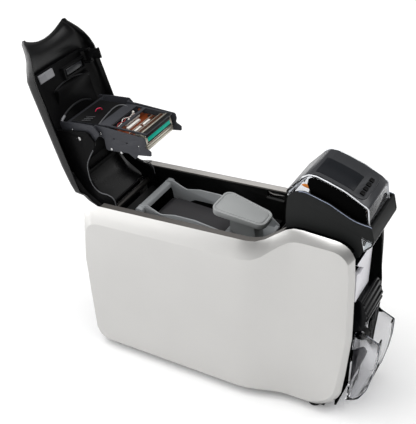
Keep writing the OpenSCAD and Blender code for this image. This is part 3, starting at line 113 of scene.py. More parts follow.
def bevel_by_angle(piece: Piece, width: float, degrees: float, segments: int = 2) -> None:
    """Rounds a piece's edges, by a width in metres, where its faces meet at more than the angle."""
    apply_modifier(piece, "BEVEL", width=width, segments=segments, limit_method="ANGLE",
                   angle_limit=math.radians(degrees))


def edit_all(piece: Piece, step: Callable[[], object]) -> None:
    """Runs an edit-mode step on a piece with all of its mesh selected.

    Args:
        piece: the piece to change.
        step: the step.
    """
    select_only(piece)
    bpy.ops.object.mode_set(mode="EDIT")
    bpy.ops.mesh.select_all(action="SELECT")
    step()
    bpy.ops.object.mode_set(mode="OBJECT")


def inset_faces(piece: Piece, picked: Callable[[bpy.types.MeshPolygon], bool],
                steps: Sequence[Flat]) -> None:
    """Insets some faces of a piece several times.

    Args:
        piece: the piece to change.
        picked: whether a face takes part.
        steps: each inset's width and rise in metres.
    """
    select_only(piece)
    bpy.ops.object.mode_set(mode="EDIT")
    bpy.ops.mesh.select_mode(type="FACE")
    bpy.ops.mesh.select_all(action="DESELECT")
    bpy.ops.object.mode_set(mode="OBJECT")
    for face in piece.data.polygons:
        face.select = picked(face)
    bpy.ops.object.mode_set(mode="EDIT")
    for width, rise in steps:
        bpy.ops.mesh.inset(thickness=width, depth=rise)
    bpy.ops.object.mode_set(mode="OBJECT")


def smooth(piece: Piece, degrees: float) -> None:
    """Shades a piece smooth where its faces meet at less than the angle."""
    select_only(piece)
    bpy.ops.object.shade_smooth_by_angle(angle=math.radians(degrees))


def start(add: Callable, **settings: object) -> Piece:
    """Adds a primitive while nothing else is selected.

    Args:
        add: the operator that adds it.
        settings: the operator's settings.

    Returns:
        The new piece.
    """
    bpy.ops.object.select_all(action="DESELECT")
    add(**settings)
    return bpy.context.active_object


def settle(piece: Piece) -> None:
    """Moves a piece's place, turn and size into its mesh, so that its object sits at the origin."""
    select_only(piece)
    bpy.ops.object.transform_apply(location=True, rotation=True, scale=True)


# ----- effects that finishes share -----


class Grain(Enum):
    """How a surface's fine relief runs."""

    MOULDED = "moulded"
    BRUSHED = "brushed"
    FLAKED = "flaked"
    WOUND = "wound"


STRETCH = {Grain.BRUSHED: (0.03, 1, 1), Grain.WOUND: (1, 0.02, 1)}


def new_group(name: str, inputs: dict[str, object], *outputs: str) -> tuple:
    """Makes an empty shader group with named sockets.

    Args:
        name: the group's name.
        inputs: each input's name and its first value; a number, a colour or None for a vector.
        outputs: the outputs' names; Colour is a colour and the others are numbers.

    Returns:
        The group's tree, its input node and its output node.
    """
    tree = bpy.data.node_groups.new(name, "ShaderNodeTree")
    for label, value in inputs.items():
        kind = "NodeSocketVector" if value is None else "NodeSocketFloat"
        kind = "NodeSocketColor" if isinstance(value, tuple) else kind
        socket = tree.interface.new_socket(label, in_out="INPUT", socket_type=kind)
        if value is not None:
            socket.default_value = value
    for label in outputs:
        kind = "NodeSocketColor" if label == "Colour" else "NodeSocketFloat"
        tree.interface.new_socket(label, in_out="OUTPUT", socket_type=kind)
    return tree, tree.nodes.new("NodeGroupInput"), tree.nodes.new("NodeGroupOutput")


def add_node(tree: Tree, kind: str, wires: dict | None = None, **settings: object) -> bpy.types.Node:
    """Adds a node, sets it and wires its inputs.

    Args:
        tree: the tree that gets the node.
        kind: the node's type without the ShaderNode prefix.
        wires: for each input, by name or number, a socket to link or a value.
        settings: the node's own settings.

    Returns:
        The new node.
    """
    node = tree.nodes.new("ShaderNode" + kind)
    for name, value in settings.items():
        setattr(node, name, value)
    for key, value in (wires or {}).items():
        if isinstance(value, bpy.types.NodeSocket):
            tree.links.new(value, node.inputs[key])
        else:
            node.inputs[key].default_value = value
    return node


def relief_group(grain: Grain) -> Tree:
    """The fine relief of one kind of surface.

    Args:
        grain: how the relief runs.

    Returns:
        A group with Vector, Size and Depth, which puts out Height.
    """
    name = "relief_" + grain.value
    if name in bpy.data.node_groups:
        return bpy.data.node_groups[name]
    inputs = {"Vector": None, "Size": 1500.0, "Depth": 0.1}
    tree, begin, end = new_group(name, inputs, "Height")
    place, size, depth = (begin.outputs[label] for label in inputs)
    way = add_node(tree, "VectorMath", {0: place, 1: STRETCH.get(grain, (1, 1, 1))}, operation="MULTIPLY")
    fine = add_node(tree, "TexNoise", {"Vector": way.outputs[0], "Scale": size, "Detail": 2.0})
    spots = fine.outputs["Fac"]
    if grain is Grain.FLAKED:
        cells = add_node(tree, "TexVoronoi", {"Vector": way.outputs[0], "Scale": size})
        spots = add_node(tree, "Math", {0: cells.outputs["Color"], 1: spots}, operation="MULTIPLY").outputs[0]
    height = add_node(tree, "Math", {0: spots, 1: depth}, operation="MULTIPLY")
    tree.links.new(height.outputs[0], end.inputs["Height"])
    return tree


def tone_group() -> Tree:
    """Slow changes of tone and gloss over a surface, as in handled plastic.

    Returns:
        A group with Vector, Colour, Drift, Roughness and Spread, which puts out Colour and Roughness.
    """
    name = "slow_tone"
    if name in bpy.data.node_groups:
        return bpy.data.node_groups[name]
    inputs = {"Vector": None, "Colour": (0.5, 0.5, 0.5, 1), "Drift": 0.05, "Roughness": 0.5, "Spread": 0.05}
    tree, begin, end = new_group(name, inputs, "Colour", "Roughness")
    place, colour, drift, roughness, spread = (begin.outputs[label] for label in inputs)
    slow = add_node(tree, "TexNoise", {"Vector": place, "Scale": 14.0, "Detail": 3.0})
    shift = add_node(tree, "MapRange", {0: slow.outputs["Fac"], 1: 0.3, 2: 0.7, 3: -1.0, 4: 1.0})
    dim = add_node(tree, "Math", {0: shift.outputs[0], 1: drift, 2: 1.0}, operation="MULTIPLY_ADD")
    tone = add_node(tree, "VectorMath", {0: colour, 1: dim.outputs[0]}, operation="MULTIPLY")
    gloss = add_node(tree, "Math", {0: shift.outputs[0], 1: spread, 2: roughness}, operation="MULTIPLY_ADD")
    tree.links.new(tone.outputs[0], end.inputs["Colour"])
    tree.links.new(gloss.outputs[0], end.inputs["Roughness"])
    return tree


# ----- finishes -----


@dataclass(frozen=True)
class Finish:
    """An opaque surface: its colour on a screen, its gloss and its fine relief."""

    name: str
    colour: Colour
    roughness: float = 0.5
    metallic: float = 0.0
    coat: float = 0.0
    coat_roughness: float = 0.12
    grain: Grain = Grain.MOULDED
    grain_size: float = 1800.0
    depth: float = 0.15
    drift: float = 0.06
    spread: float = 0.05
    specular: float = 0.5
    bump_strength: float = 0.5
    bump_distance: float = 0.2 * MM

    def material(self) -> bpy.types.Material:
        """Makes the material, or finds the one made before.

        Returns:
            The material.
        """
        label = self.name + "_finish"
        if label in bpy.data.materials:
            return bpy.data.materials[label]
        material = bpy.data.materials.new(label)
        material.use_nodes = True
        tree = material.node_tree
        tree.nodes.clear()
        self.wire(tree, add_node(tree, "OutputMaterial"))
        return material

    def wire(self, tree: Tree, output: bpy.types.Node) -> bpy.types.Node:
        """Builds the shader in a material's tree.

        Args:
            tree: the material's tree.
            output: its output node.

        Returns:
            The Principled node.
        """
        place = add_node(tree, "TexCoord").outputs["Object"]
        wires = {"Vector": place, "Size": self.grain_size, "Depth": self.depth}
        relief = add_node(tree, "Group", wires, node_tree=relief_group(self.grain))
        wires = {"Vector": place, "Colour": (*linear(self.colour), 1), "Drift": self.drift,
                 "Roughness": self.roughness, "Spread": self.spread}
        tone = add_node(tree, "Group", wires, node_tree=tone_group())
        height = relief.outputs["Height"]
        wires = {"Height": height, "Strength": self.bump_strength, "Distance": self.bump_distance}
        bump = add_node(tree, "Bump", wires)
        wires = {
            "Base Color": tone.outputs["Colour"], "Roughness": tone.outputs["Roughness"],
            "Metallic": self.metallic, "Coat Weight": self.coat, "Coat Roughness": self.coat_roughness,
            "Specular IOR Level": self.specular, "Normal": bump.outputs["Normal"],
        }
        shader = add_node(tree, "BsdfPrincipled", wires)
        tree.links.new(shader.outputs[0], output.inputs["Surface"])
        return shader


@dataclass(frozen=True)
class ClearFinish(Finish):
    """A clear or smoked plastic; its shadow is as light as the plastic is clear, and where rim is set its
    edges darken as painted shade.
    """

    ior: float = 1.46
    rim: float = 0.0
    rim_blend: float = 0.35
    rim_start: float = 0.72
    edge_shade_tint: Colour = (0.12, 0.12, 0.2)

    def wire(self, tree: Tree, output: bpy.types.Node) -> bpy.types.Node:
        """Builds the glass and lets light through in shadow rays.

        Args:
            tree: the material's tree.
            output: its output node.

        Returns:
            The Principled node.
        """
        shader = super().wire(tree, output)
        clear = linear(self.colour)
        shader.inputs["Transmission Weight"].default_value = 1.0
        shader.inputs["IOR"].default_value = self.ior
        # painted shade: the base colour darkens towards grazing edges, standing in for the dark look of the
        # glass's edges
        if self.rim:
            facing = add_node(tree, "LayerWeight", {"Blend": self.rim_blend}).outputs["Facing"]
            edge = add_node(tree, "MapRange", {0: facing, 1: self.rim_start, 2: 1.0, 3: 0.0, 4: self.rim})
            dark = tuple(part * tint for part, tint in zip(clear, self.edge_shade_tint))
            wires = {0: edge.outputs[0], 1: (*clear, 1), 2: (*dark, 1)}
            tree.links.new(add_node(tree, "MixRGB", wires).outputs[0], shader.inputs["Base Color"])
        through = add_node(tree, "BsdfTransparent", {"Color": (*clear, 1)})
        light = add_node(tree, "LightPath")
        wires = {0: light.outputs["Is Shadow Ray"], 1: shader.outputs[0], 2: through.outputs[0]}
        tree.links.new(add_node(tree, "MixShader", wires).outputs[0], output.inputs["Surface"])
        return shader


SILVER = Finish("satin_silver", (204, 203, 201), 0.3, 0.8, 0.1, grain=Grain.FLAKED, grain_size=2600,
                depth=0.05, drift=0.012, spread=0.02)
BASE_BLACK = Finish("base_black", (24, 24, 25), 0.55, specular=0.2)
FOOT_RUBBER = Finish("foot_rubber", (30, 30, 30), 0.85, depth=0.3, specular=0.2)
TUB_BLACK = Finish("tub_black", (15, 15, 15), 0.4, specular=0.16)
RIM_TAUPE = Finish("rim_taupe", (98, 95, 92), 0.4, 0.2, grain_size=2600, specular=0.4)
COVER_BLACK = Finish("cover_black", (27, 27, 28), 0.5, specular=0.25)
SOCKET_BLACK = Finish("socket_black", (18, 18, 18), 0.4, specular=0.25)
SOCKET_METAL = Finish("socket_metal", (190, 190, 188), 0.3, 1.0, grain=Grain.BRUSHED)
BUTTON_BLACK = Finish("button_black", (9, 9, 10), 0.4, specular=0.1)
BOARD_GREEN = Finish("board_green", (28, 84, 58), 0.4, coat=0.4)
FRONT_BLACK = Finish("front_black", (7, 8, 8), 0.5, specular=0.0)
HOUSING_BLACK = Finish("housing_black", (15, 16, 18), 0.24, specular=0.14)
FASCIA_PALE = Finish("fascia_pale", (246, 245, 250), 0.45)
ROLLER_RUBBER = Finish("roller_rubber", (38, 38, 38), 0.75, specular=0.2)
SHEET_STEEL = Finish("sheet_steel", (172, 172, 170), 0.35, 0.9, grain=Grain.BRUSHED)
MOTOR_STEEL = Finish("motor_steel", (150, 150, 152), 0.32, 1.0, grain=Grain.WOUND)
GEAR_BRASS = Finish("gear_brass", (196, 164, 92), 0.3, 1.0)
BELT_RUBBER = Finish("belt_rubber", (36, 36, 36), 0.7)
GEAR_WHITE = Finish("gear_white", (225, 222, 212), 0.45)
SHAFT_STEEL = Finish("shaft_steel", (186, 186, 186), 0.22, 1.0, grain=Grain.WOUND)
DARK_STEEL = Finish("dark_steel", (60, 58, 56), 0.35, 0.8, grain=Grain.WOUND, specular=0.3)
LID_BLACK = Finish("lid_black", (16, 16, 17), 0.3, specular=0.3)
LINER_BLACK = Finish("liner_black", (14, 14, 15), 0.42, specular=0.08)
PLATE_PALE = Finish("plate_pale", (150, 150, 154), 0.3)
LATCH_BLACK = Finish("latch_black", (14, 14, 15), 0.3, specular=0.3)
CARRIER_GREY = Finish("carrier_grey", (56, 57, 62), 0.46, specular=0.25)
HEAD_CREAM = Finish("head_cream", (206, 200, 186), 0.3, 0.6, grain=Grain.BRUSHED)
HEATER_TEAL = Finish("heater_teal", (0, 190, 165), 0.3, specular=0.15)
BOARD_AMBER = Finish("board_amber", (118, 52, 16), 0.35, specular=0.2, drift=0.2)
CONNECTOR_WHITE = Finish("connector_white", (242, 240, 234), 0.4)
CARTRIDGE_GREY = Finish("cartridge_grey", (158, 161, 163), 0.42)
GRIP_GREY = Finish("grip_grey", (158, 160, 160), 0.46)
FILM_DARK = Finish("film_dark", (58, 57, 59), 0.4, specular=0.2)
FEEDER_BLACK = Finish("feeder_black", (34, 35, 35), 0.55, specular=0.08)
WEIGHT_BLACK = Finish("weight_black", (12, 12, 13), 0.4, specular=0.2)
PANEL_BLACK = Finish("panel_black", (50, 51, 54), 0.4, specular=0.3)
GUIDE_GREY = Finish("guide_grey", (76, 75, 80), 0.45, specular=0.3)
DISPLAY_GLASS = Finish("display_glass", (27, 29, 33), 0.3, specular=0.1, depth=0.0)
AMBER = ClearFinish("gate_amber", (240, 150, 20), 0.12)
HOOD_SMOKE = ClearFinish("hood_smoke", (226, 228, 232), 0.0, depth=0.0, ior=1.35)
HOOD_TOP = Finish("hood_top", (62, 63, 66), 0.25, specular=0.35, depth=0.03)
# painted highlight: a bright bead colour that stands in for the shine on the hood's rounded edges
HOOD_PAINTED_HIGHLIGHT = Finish("hood_painted_highlight", (240, 242, 246), 0.15, 0.3, 0.5, depth=0.0)
# painted highlight: a pale bluish bead colour for the shine along the cheeks' top edges
PANE_PAINTED_HIGHLIGHT = Finish("pane_painted_highlight", (146, 156, 178), 0.2, 0.2, 0.4, depth=0.0)
# painted shade: black plates that stand in for the dark hopper seen through the hood's sides
PAINTED_SHADE_BLACK = Finish("painted_shade_black", (8, 8, 8), 0.5, specular=0.0)
GATE_ORANGE = Finish("gate_orange", (196, 112, 12), 0.3)
# painted highlight: a lighter copy of the rim trim's colour for its lit top and the catch's bead
RIM_PAINTED_HIGHLIGHT = Finish("rim_painted_highlight", (192, 189, 185), 0.4, 0.1, grain_size=2600)
BOARD_BROWN = Finish("board_brown", (74, 44, 28), 0.4, specular=0.2)
CHIP_BLACK = Finish("chip_black", (16, 15, 15), 0.4, specular=0.2)
WIRE_RED = Finish("wire_red", (150, 16, 22), 0.4)
# painted shade: a dark bluish colour for the lines that the bin's clear edges show
BIN_PAINTED_SHADE = Finish("bin_edge", (52, 62, 82), 0.25, depth=0.0)
POCKET_GLOSS = Finish("pocket_gloss", (46, 47, 50), 0.22, specular=0.35)
RIDGE_BLACK = Finish("ridge_black", (34, 35, 37), 0.3, specular=0.25)
# grey for the pocket's arch and ribs; on the lid arms' beads it is a painted highlight
GREY_AND_PAINTED_HIGHLIGHT = Finish("grey_and_painted_highlight", (92, 93, 96), 0.35)
SCREW_DARK = Finish("screw_dark", (62, 62, 64), 0.35, 0.8)
LIP_CLEAR = ClearFinish("clear_lip", (236, 240, 243), 0.03, depth=0.0)
# rim gives the bin painted shade at its grazing edges
BIN_CLEAR = ClearFinish("bin_clear", (250, 250, 252), 0.0, depth=0.0, rim=0.75)
TAB_PINK = Finish("tab_pink", (214, 40, 84), 0.35)


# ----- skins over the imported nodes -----


@dataclass(frozen=True)
class Skin:
    """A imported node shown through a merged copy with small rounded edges."""

    node: str
    finish: Finish
    edge: float = 0.35 * MM
    sharp: float = 32.0
    blend: float = 8.0   # added to sharp for the shading
    second: Finish | None = None
    where: Callable[[Vector, Vector], bool] | None = None

    def build(self) -> None:
        """Copies the node's mesh, rounds it and lets the copy stand for the node."""
        source = frame["nodes"][self.node]
        piece = bpy.data.objects.new(self.node + "_skin", source.data.copy())
        bpy.context.scene.collection.objects.link(piece)
        edit_all(piece, lambda: bpy.ops.mesh.remove_doubles(threshold=MERGE))
        self.shape(piece)
        if self.edge:
            apply_modifier(piece, "DECIMATE", decimate_type="DISSOLVE", angle_limit=FLAT_ANGLE)
            bevel_by_angle(piece, self.edge, self.sharp)
        smooth(piece, self.sharp + self.blend)
        piece.data.materials.clear()
        piece.data.materials.append(self.finish.material())
        if self.second:
            piece.data.materials.append(self.second.material())
            for face in piece.data.polygons:
                face.material_index = int(self.where(face.center, face.normal))
        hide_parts(self.node)
        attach(piece, source["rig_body"])

    def shape(self, piece: Piece) -> None:
        """Changes the merged copy before its edges are rounded."""


@dataclass(frozen=True)
class PanelSkin(Skin):
    """A side panel whose shoulder is a flat chamfer with a crisp crease at the face."""

    rear_half: float = 79 * MM
    front_half: float = 63 * MM
    waist_start: float = 78 * MM
    waist_len: float = 72 * MM
    shoulder: float = 9 * MM
    rows: Outline = ((0.682, 0.76), (0.379, 0.47), (0.152, 0.25))   # old and new shares of the shoulder
    row_slack: float = 0.015
    crease: float = 0.8 * MM
    crease_angle: float = 11.0
    crease_strips: int = 3

    def half(self, x: float) -> float:
        """Half of the width over the flat faces at x."""
        t = min(max((x - self.waist_start) / self.waist_len, 0), 1)
        return self.rear_half + (self.front_half - self.rear_half) * t * t * (3 - 2 * t)

    def shape(self, piece: Piece) -> None:
        """Moves the shoulder's rows onto a chamfer and rounds the crease a little.

        Args:
            piece: the merged copy.
        """
        for vertex in piece.data.vertices:
            half = self.half(vertex.co.x)
            depth = (half - abs(vertex.co.y)) / self.shoulder
            for old, new in self.rows:
                if abs(depth - old) < self.row_slack:
                    vertex.co.y = math.copysign(half - new * self.shoulder, vertex.co.y)
        bevel_by_angle(piece, self.crease, self.crease_angle, self.crease_strips)


@dataclass(frozen=True)
class InsetSkin(Skin):
    """A node with a groove that runs inside a narrow border on its top."""

    border: float = 2.8 * MM
    step: float = 0.35 * MM
    floor: float = 1.3 * MM
    drop: float = 1.2 * MM
    up: float = 0.9
    reach: float = 14 * MM   # from the top down

    def shape(self, piece: Piece) -> None:
        """Cuts a groove into the faces that look up, a border's width inside their rim.

        Args:
            piece: the merged copy.
        """
        apply_modifier(piece, "DECIMATE", decimate_type="DISSOLVE", angle_limit=FLAT_ANGLE)
        lowest = max(vertex.co.z for vertex in piece.data.vertices) - self.reach
        steps = ((self.border, 0), (self.step, -self.drop), (self.floor, 0), (self.step, self.drop))
        inset_faces(piece, lambda face: face.normal.z > self.up and face.center.z > lowest, steps)


# ----- modelling pieces of their own -----

HINGE = Vector((-0.131, 0, 0.22))
LID_OPEN = math.radians(107)
REAR_EDGE = -0.167
FLUSH = 0.01   # points this near to a side lie in it


def at_rear(x: float, y: float, z: float) -> Vector:
    """A spot's place in the scene."""
    return Vector((REAR_EDGE + x * MM, y * MM, z * MM))


def moved(x: float = 0, y: float = 0) -> Matrix:
    """A move by millimetres along X and Y."""
    return Matrix.Translation(Vector((x, y, 0)) * MM)


def seat(foot: Vector, up: Vector = Vector((0, 0, 1))) -> Matrix:
    """Stands what is drawn upright at the origin on a place, looking along a way."""
    return Matrix.Translation(foot) @ up.to_track_quat("Z", "Y").to_matrix().to_4x4()


def beside(path: Sequence[Flat], y: float, lift: float = 0) -> list[Spot]:
    """Stands a path in X and Z up at one Y, lifted by so much."""
    return [(x, y, z + lift) for x, z in path]


def above(path: Sequence[Spot], z: float) -> list[Spot]:
    """Lays a path, drawn with heights over a floor, on the floor at z."""
    return [(x, y, z + height) for x, y, height in path]


def open_up(piece: Piece) -> None:
    """Turns a piece drawn with the lid shut to where the open lid holds it."""
    turn = Matrix.Translation(HINGE) @ Matrix.Rotation(-LID_OPEN, 4, "Y") @ Matrix.Translation(-HINGE)
    piece.data.transform(turn)


@dataclass(frozen=True)
class Pin:
    """A round pin's sizes in millimetres; each inset in its top has a width and a rise."""

    radius: float
    height: float
    sunk: float = 0.0
    sides: int = 24
    edge: float = 0.3
    insets: Outline = ()


@dataclass(frozen=True)
class Maker:
    """Makes small pieces for one body, all in one finish; their sizes are in millimetres."""

    body: str
    finish: Finish
    slot: str = ""
    in_lid: bool = False
    wire_steps: int = 6
    wire_ring: int = 3

    def dress(self, piece: Piece, name: str, degrees: float = 40) -> Piece:
        """Settles a modelled piece, gives it its finish and lets it ride.

        Args:
            piece: the modelled piece.
            name: its name.
            degrees: the angle under which its faces are shaded smooth.

        Returns:
            The piece.
        """
        settle(piece)
        piece.name = name
        if self.in_lid:
            open_up(piece)
        smooth(piece, degrees)
        piece.data.materials.append(self.finish.material())
        self.mount(piece)
        return piece

    def mount(self, piece: Piece) -> None:
        """Lets a finished piece ride on the maker's body.

        Args:
            piece: the piece.
        """
        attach(piece, self.body)
        log.info("%s rides on %s", piece.name, self.body)

    def repeat(self, piece: Piece, name: str, move: Matrix) -> None:
        """Copies a finished piece, with a mesh of its own, to another place on the same body.

        Args:
            piece: the piece.
            name: the copy's name.
            move: the way from the piece to the copy.
        """
        copy = bpy.data.objects.new(name, piece.data.copy())
        bpy.context.scene.collection.objects.link(copy)
        copy.data.transform(move)
        self.mount(copy)

    def pair(self, stem: str, apart: float, shape: Callable, *sizes: object) -> None:
        """Makes a piece of the right side and its copy on the left, so many millimetres apart."""
        self.repeat(shape(stem + "_right", *sizes), stem + "_left", moved(y=apart))

    def block(self, name: str, low: Spot, high: Spot, edge: float = 0.2) -> Piece:
        """A block with rounded edges between two corners.

        Args:
            name: its name.
            low: its lowest corner.
            high: its highest corner.
            edge: the radius of its edges.

        Returns:
            The piece.
        """
        a, b = at_rear(*low), at_rear(*high)
        piece = start(bpy.ops.mesh.primitive_cube_add, size=1, location=(a + b) / 2, scale=b - a)
        settle(piece)
        edit_all(piece, lambda: bpy.ops.mesh.bevel(offset=edge * MM, segments=2, affect="EDGES"))
        return self.dress(piece, name)

    def pin(self, name: str, stand: Matrix, size: Pin) -> Piece:
        """A round pin, such as a peg or a screw's head.

        Args:
            name: its name.
            stand: where it stands and looks.
            size: its sizes.

        Returns:
            The piece.
        """
        middle = (size.height / 2 - size.sunk) * MM
        piece = start(bpy.ops.mesh.primitive_cylinder_add, vertices=size.sides, radius=size.radius * MM,
                      depth=size.height * MM, location=(0, 0, middle))
        if size.edge:
            bevel_by_angle(piece, size.edge * MM, 60)
        if size.insets:
            steps = [(width * MM, rise * MM) for width, rise in size.insets]
            inset_faces(piece, lambda face: face.normal.z > 0.9, steps)
        piece.matrix_basis = stand @ piece.matrix_basis
        return self.dress(piece, name)

    def plate(self, name: str, outline: Outline, low: float, high: float, edge: float = 0.2) -> Piece:
        """A plate that stands along X: an outline in X and Z, drawn out along Y.

        Args:
            name: its name.
            outline: its corners in X and Z.
            low: its lowest Y.
            high: its highest Y.
            edge: the radius of its edges.

        Returns:
            The piece.
        """
        piece = start(bpy.ops.mesh.primitive_circle_add, vertices=len(outline), radius=1, fill_type="NGON")
        for vertex, (x, z) in zip(piece.data.vertices, outline):
            vertex.co = at_rear(x, low, z)
        way = Vector((0, (high - low) * MM, 0))
        edit_all(piece, lambda: bpy.ops.mesh.extrude_region_move(TRANSFORM_OT_translate={"value": way}))
        edit_all(piece, bpy.ops.mesh.normals_make_consistent)
        bevel_by_angle(piece, edge * MM, 50)
        return self.dress(piece, name)

    def wire(self, name: str, points: Sequence[Spot], radius: float) -> Piece:
        """A smooth wire or bead through points.

        Args:
            name: its name.
            points: its points.
            radius: its radius.

        Returns:
            The piece.
        """
        curve = start(bpy.ops.curve.primitive_bezier_curve_add).data
        curve.splines.clear()
        spline = curve.splines.new("BEZIER")
        spline.bezier_points.add(len(points) - 1)
        for knot, place in zip(spline.bezier_points, points):
            knot.co = at_rear(*place)
            knot.handle_left_type = knot.handle_right_type = "AUTO"
        spline.resolution_u = self.wire_steps
        curve.bevel_depth = radius * MM
        curve.bevel_resolution = self.wire_ring
        curve.use_fill_caps = True
        bpy.ops.object.convert(target="MESH")
        return self.dress(bpy.context.active_object, name, 60)


def outline_of(node: str, y: float, keep: Callable[[float, float], bool]) -> list[Flat]:
    """The points of a node's flat right side that pass a test, from rear to front.

    Args:
        node: the node's name.
        y: how far its side lies from the middle.
        keep: the test, given X and Z.

    Returns:
        Their X and Z.
    """
    found = set()
    for vertex in frame["nodes"][node].data.vertices:
        x, z = (vertex.co.x - REAR_EDGE) / MM, vertex.co.z / MM
        if abs(vertex.co.y / MM + y) < FLUSH and keep(x, z):
            found.add((round(x, 2), round(z, 2)))
    return sorted(found, key=lambda spot: (spot[0], -spot[1]))


class Assembly:
    """A sub-assembly: the nodes that it dresses and the pieces that it adds."""

    def skins(self) -> Sequence[Skin]:
        """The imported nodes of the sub-assembly with their finishes."""
        return ()

    def fit_out(self) -> None:
        """Adds the pieces that only this sub-assembly has."""

    def build(self) -> None:
        """Builds every skin, then the sub-assembly's own pieces."""
        for skin in self.skins():
            skin.build()
        self.fit_out()


@dataclass
class Casing(Assembly):
    """The panels, the tray, the tub and the rear cover."""

    screw: Pin = Pin(3.0, 1.4, 0.5, 18, 0, ((0.48, 0.24), (1.2, 0), (0.15, -0.7)))
    plain_screw: Pin = Pin(2.5129, 0.5207, 0.0603, 18, 0)
    screw_places: Outline = ((-61, 30), (61, 30), (-61, 208), (61, 208))   # Y and Z
    plain_number: int = 0
    behind: float = -0.4
    catch: Outline = ((219, 250), (224, 244.4), (232, 243.6), (243, 245))
    catch_y: float = 62.4
    catch_radius: float = 0.7
    trim_up: float = 0.3

    def skins(self) -> Sequence[Skin]:
        """The casing's nodes; the rim's left strip is pale on top, a painted highlight."""

        def pale(spot: Vector, up: Vector) -> bool:
            """Whether a face belongs to the left strip's top, which takes the painted highlight."""
            return spot.y > 0 and up.z > self.trim_up

        return (
            PanelSkin("side_panel_right", SILVER, 0), PanelSkin("side_panel_left", SILVER, 0),
            Skin("base_tray", BASE_BLACK), Skin("rubber_feet", FOOT_RUBBER), Skin("tub", TUB_BLACK),
            Skin("rim_trim", RIM_TAUPE, 0, second=RIM_PAINTED_HIGHLIGHT, where=pale), Skin("rear_cover", COVER_BLACK),
            Skin("power_inlet", SOCKET_BLACK), Skin("data_ports", SOCKET_METAL),
            Skin("power_button", BUTTON_BLACK), Skin("main_board", BOARD_GREEN))

    def fit_out(self) -> None:
        """Screws on the rear cover and the pale lip bead of the lid's catch, a painted highlight."""
        self.rear_screws()
        lip = Maker("root", RIM_PAINTED_HIGHLIGHT, "rim_trim")
        lip.wire("catch_lip", beside(self.catch, self.catch_y), self.catch_radius)

    def rear_screws(self) -> None:
        """Seats the screws in the rear cover; equal heads are copies."""
        maker = Maker("root", SCREW_DARK, "black_cover")
        cover = bpy.data.objects["rear_cover_skin"]
        made = {}
        for number, (y, z) in enumerate(self.screw_places):
            found, spot, facing, _ = cover.ray_cast(Vector((self.behind, y * MM, z * MM)), Vector((1, 0, 0)))
            if not found:
                log.warning("no rear cover behind screw %d", number)
                continue
            name, stand = f"rear_screw_{number}", seat(spot, facing)
            head = self.plain_screw if number == self.plain_number else self.screw
            if head in made:
                first, origin = made[head]
                maker.repeat(first, name, stand @ origin.inverted())
            else:
                made[head] = maker.pin(name, stand, head), stand


@dataclass
class FrontEnd(Assembly):
    """The front frame with its fascia, the card exit and the output bin."""

    bin_edge: float = 0.5 * MM
    bin_y: float = 30.5
    line_inset: float = 0.3
    line_radius: float = 0.4
    face: Flat = (401, 122)   # X and Z that bound the bin's front face
    top: Flat = (404, 100)   # and its top

    def skins(self) -> Sequence[Skin]:
        """The front's nodes."""
        return (
            Skin("front_frame", FRONT_BLACK), Skin("front_fascia", FASCIA_PALE),
            Skin("exit_housing", HOUSING_BLACK), Skin("exit_roller", ROLLER_RUBBER),
            Skin("exit_idler", ROLLER_RUBBER), Skin("output_bin", BIN_CLEAR, self.bin_edge),
            Skin("bin_guide", GUIDE_GREY))

    def fit_out(self) -> None:
        """Dark lines along the clear bin's front edges, painted shade for how its clear edges look dark."""
        path = outline_of("output_bin", self.bin_y, self.in_front)
        path.sort(key=lambda spot: spot[1])
        line = Maker("output_bin", BIN_PAINTED_SHADE, "bin_clear")
        y = self.bin_y - self.line_inset
        line.pair("bin_line", 2 * y, line.wire, beside(path, -y), self.line_radius)

    def in_front(self, x: float, z: float) -> bool:
        """Whether a point of the bin's side belongs to its front."""
        return x > self.face[0] and z < self.face[1] or x > self.top[0] and z > self.top[1]


@dataclass
class CardPath(Assembly):
    """Rollers, rails, gears, belt and motors inside the body."""

    edge: float = 0.35 * MM

    def skins(self) -> Sequence[Skin]:
        """The card path's nodes."""
        rubber = (Skin(name + "_roller", ROLLER_RUBBER, self.edge) for name in ("pressure", "feed", "platen"))
        sheet = (Skin("path_" + name, SHEET_STEEL, self.edge) for name in ("rails", "plates"))
        motors = (Skin(name + "_motor", MOTOR_STEEL, self.edge) for name in ("drive", "ribbon"))
        return (
            *rubber, *sheet, *motors, Skin("drive_belt", BELT_RUBBER, self.edge),
            Skin("hinge_rod", DARK_STEEL, self.edge), Skin("motor_pinion", GEAR_BRASS, 0),
            Skin("ribbon_drive_gear", GEAR_WHITE, 0))


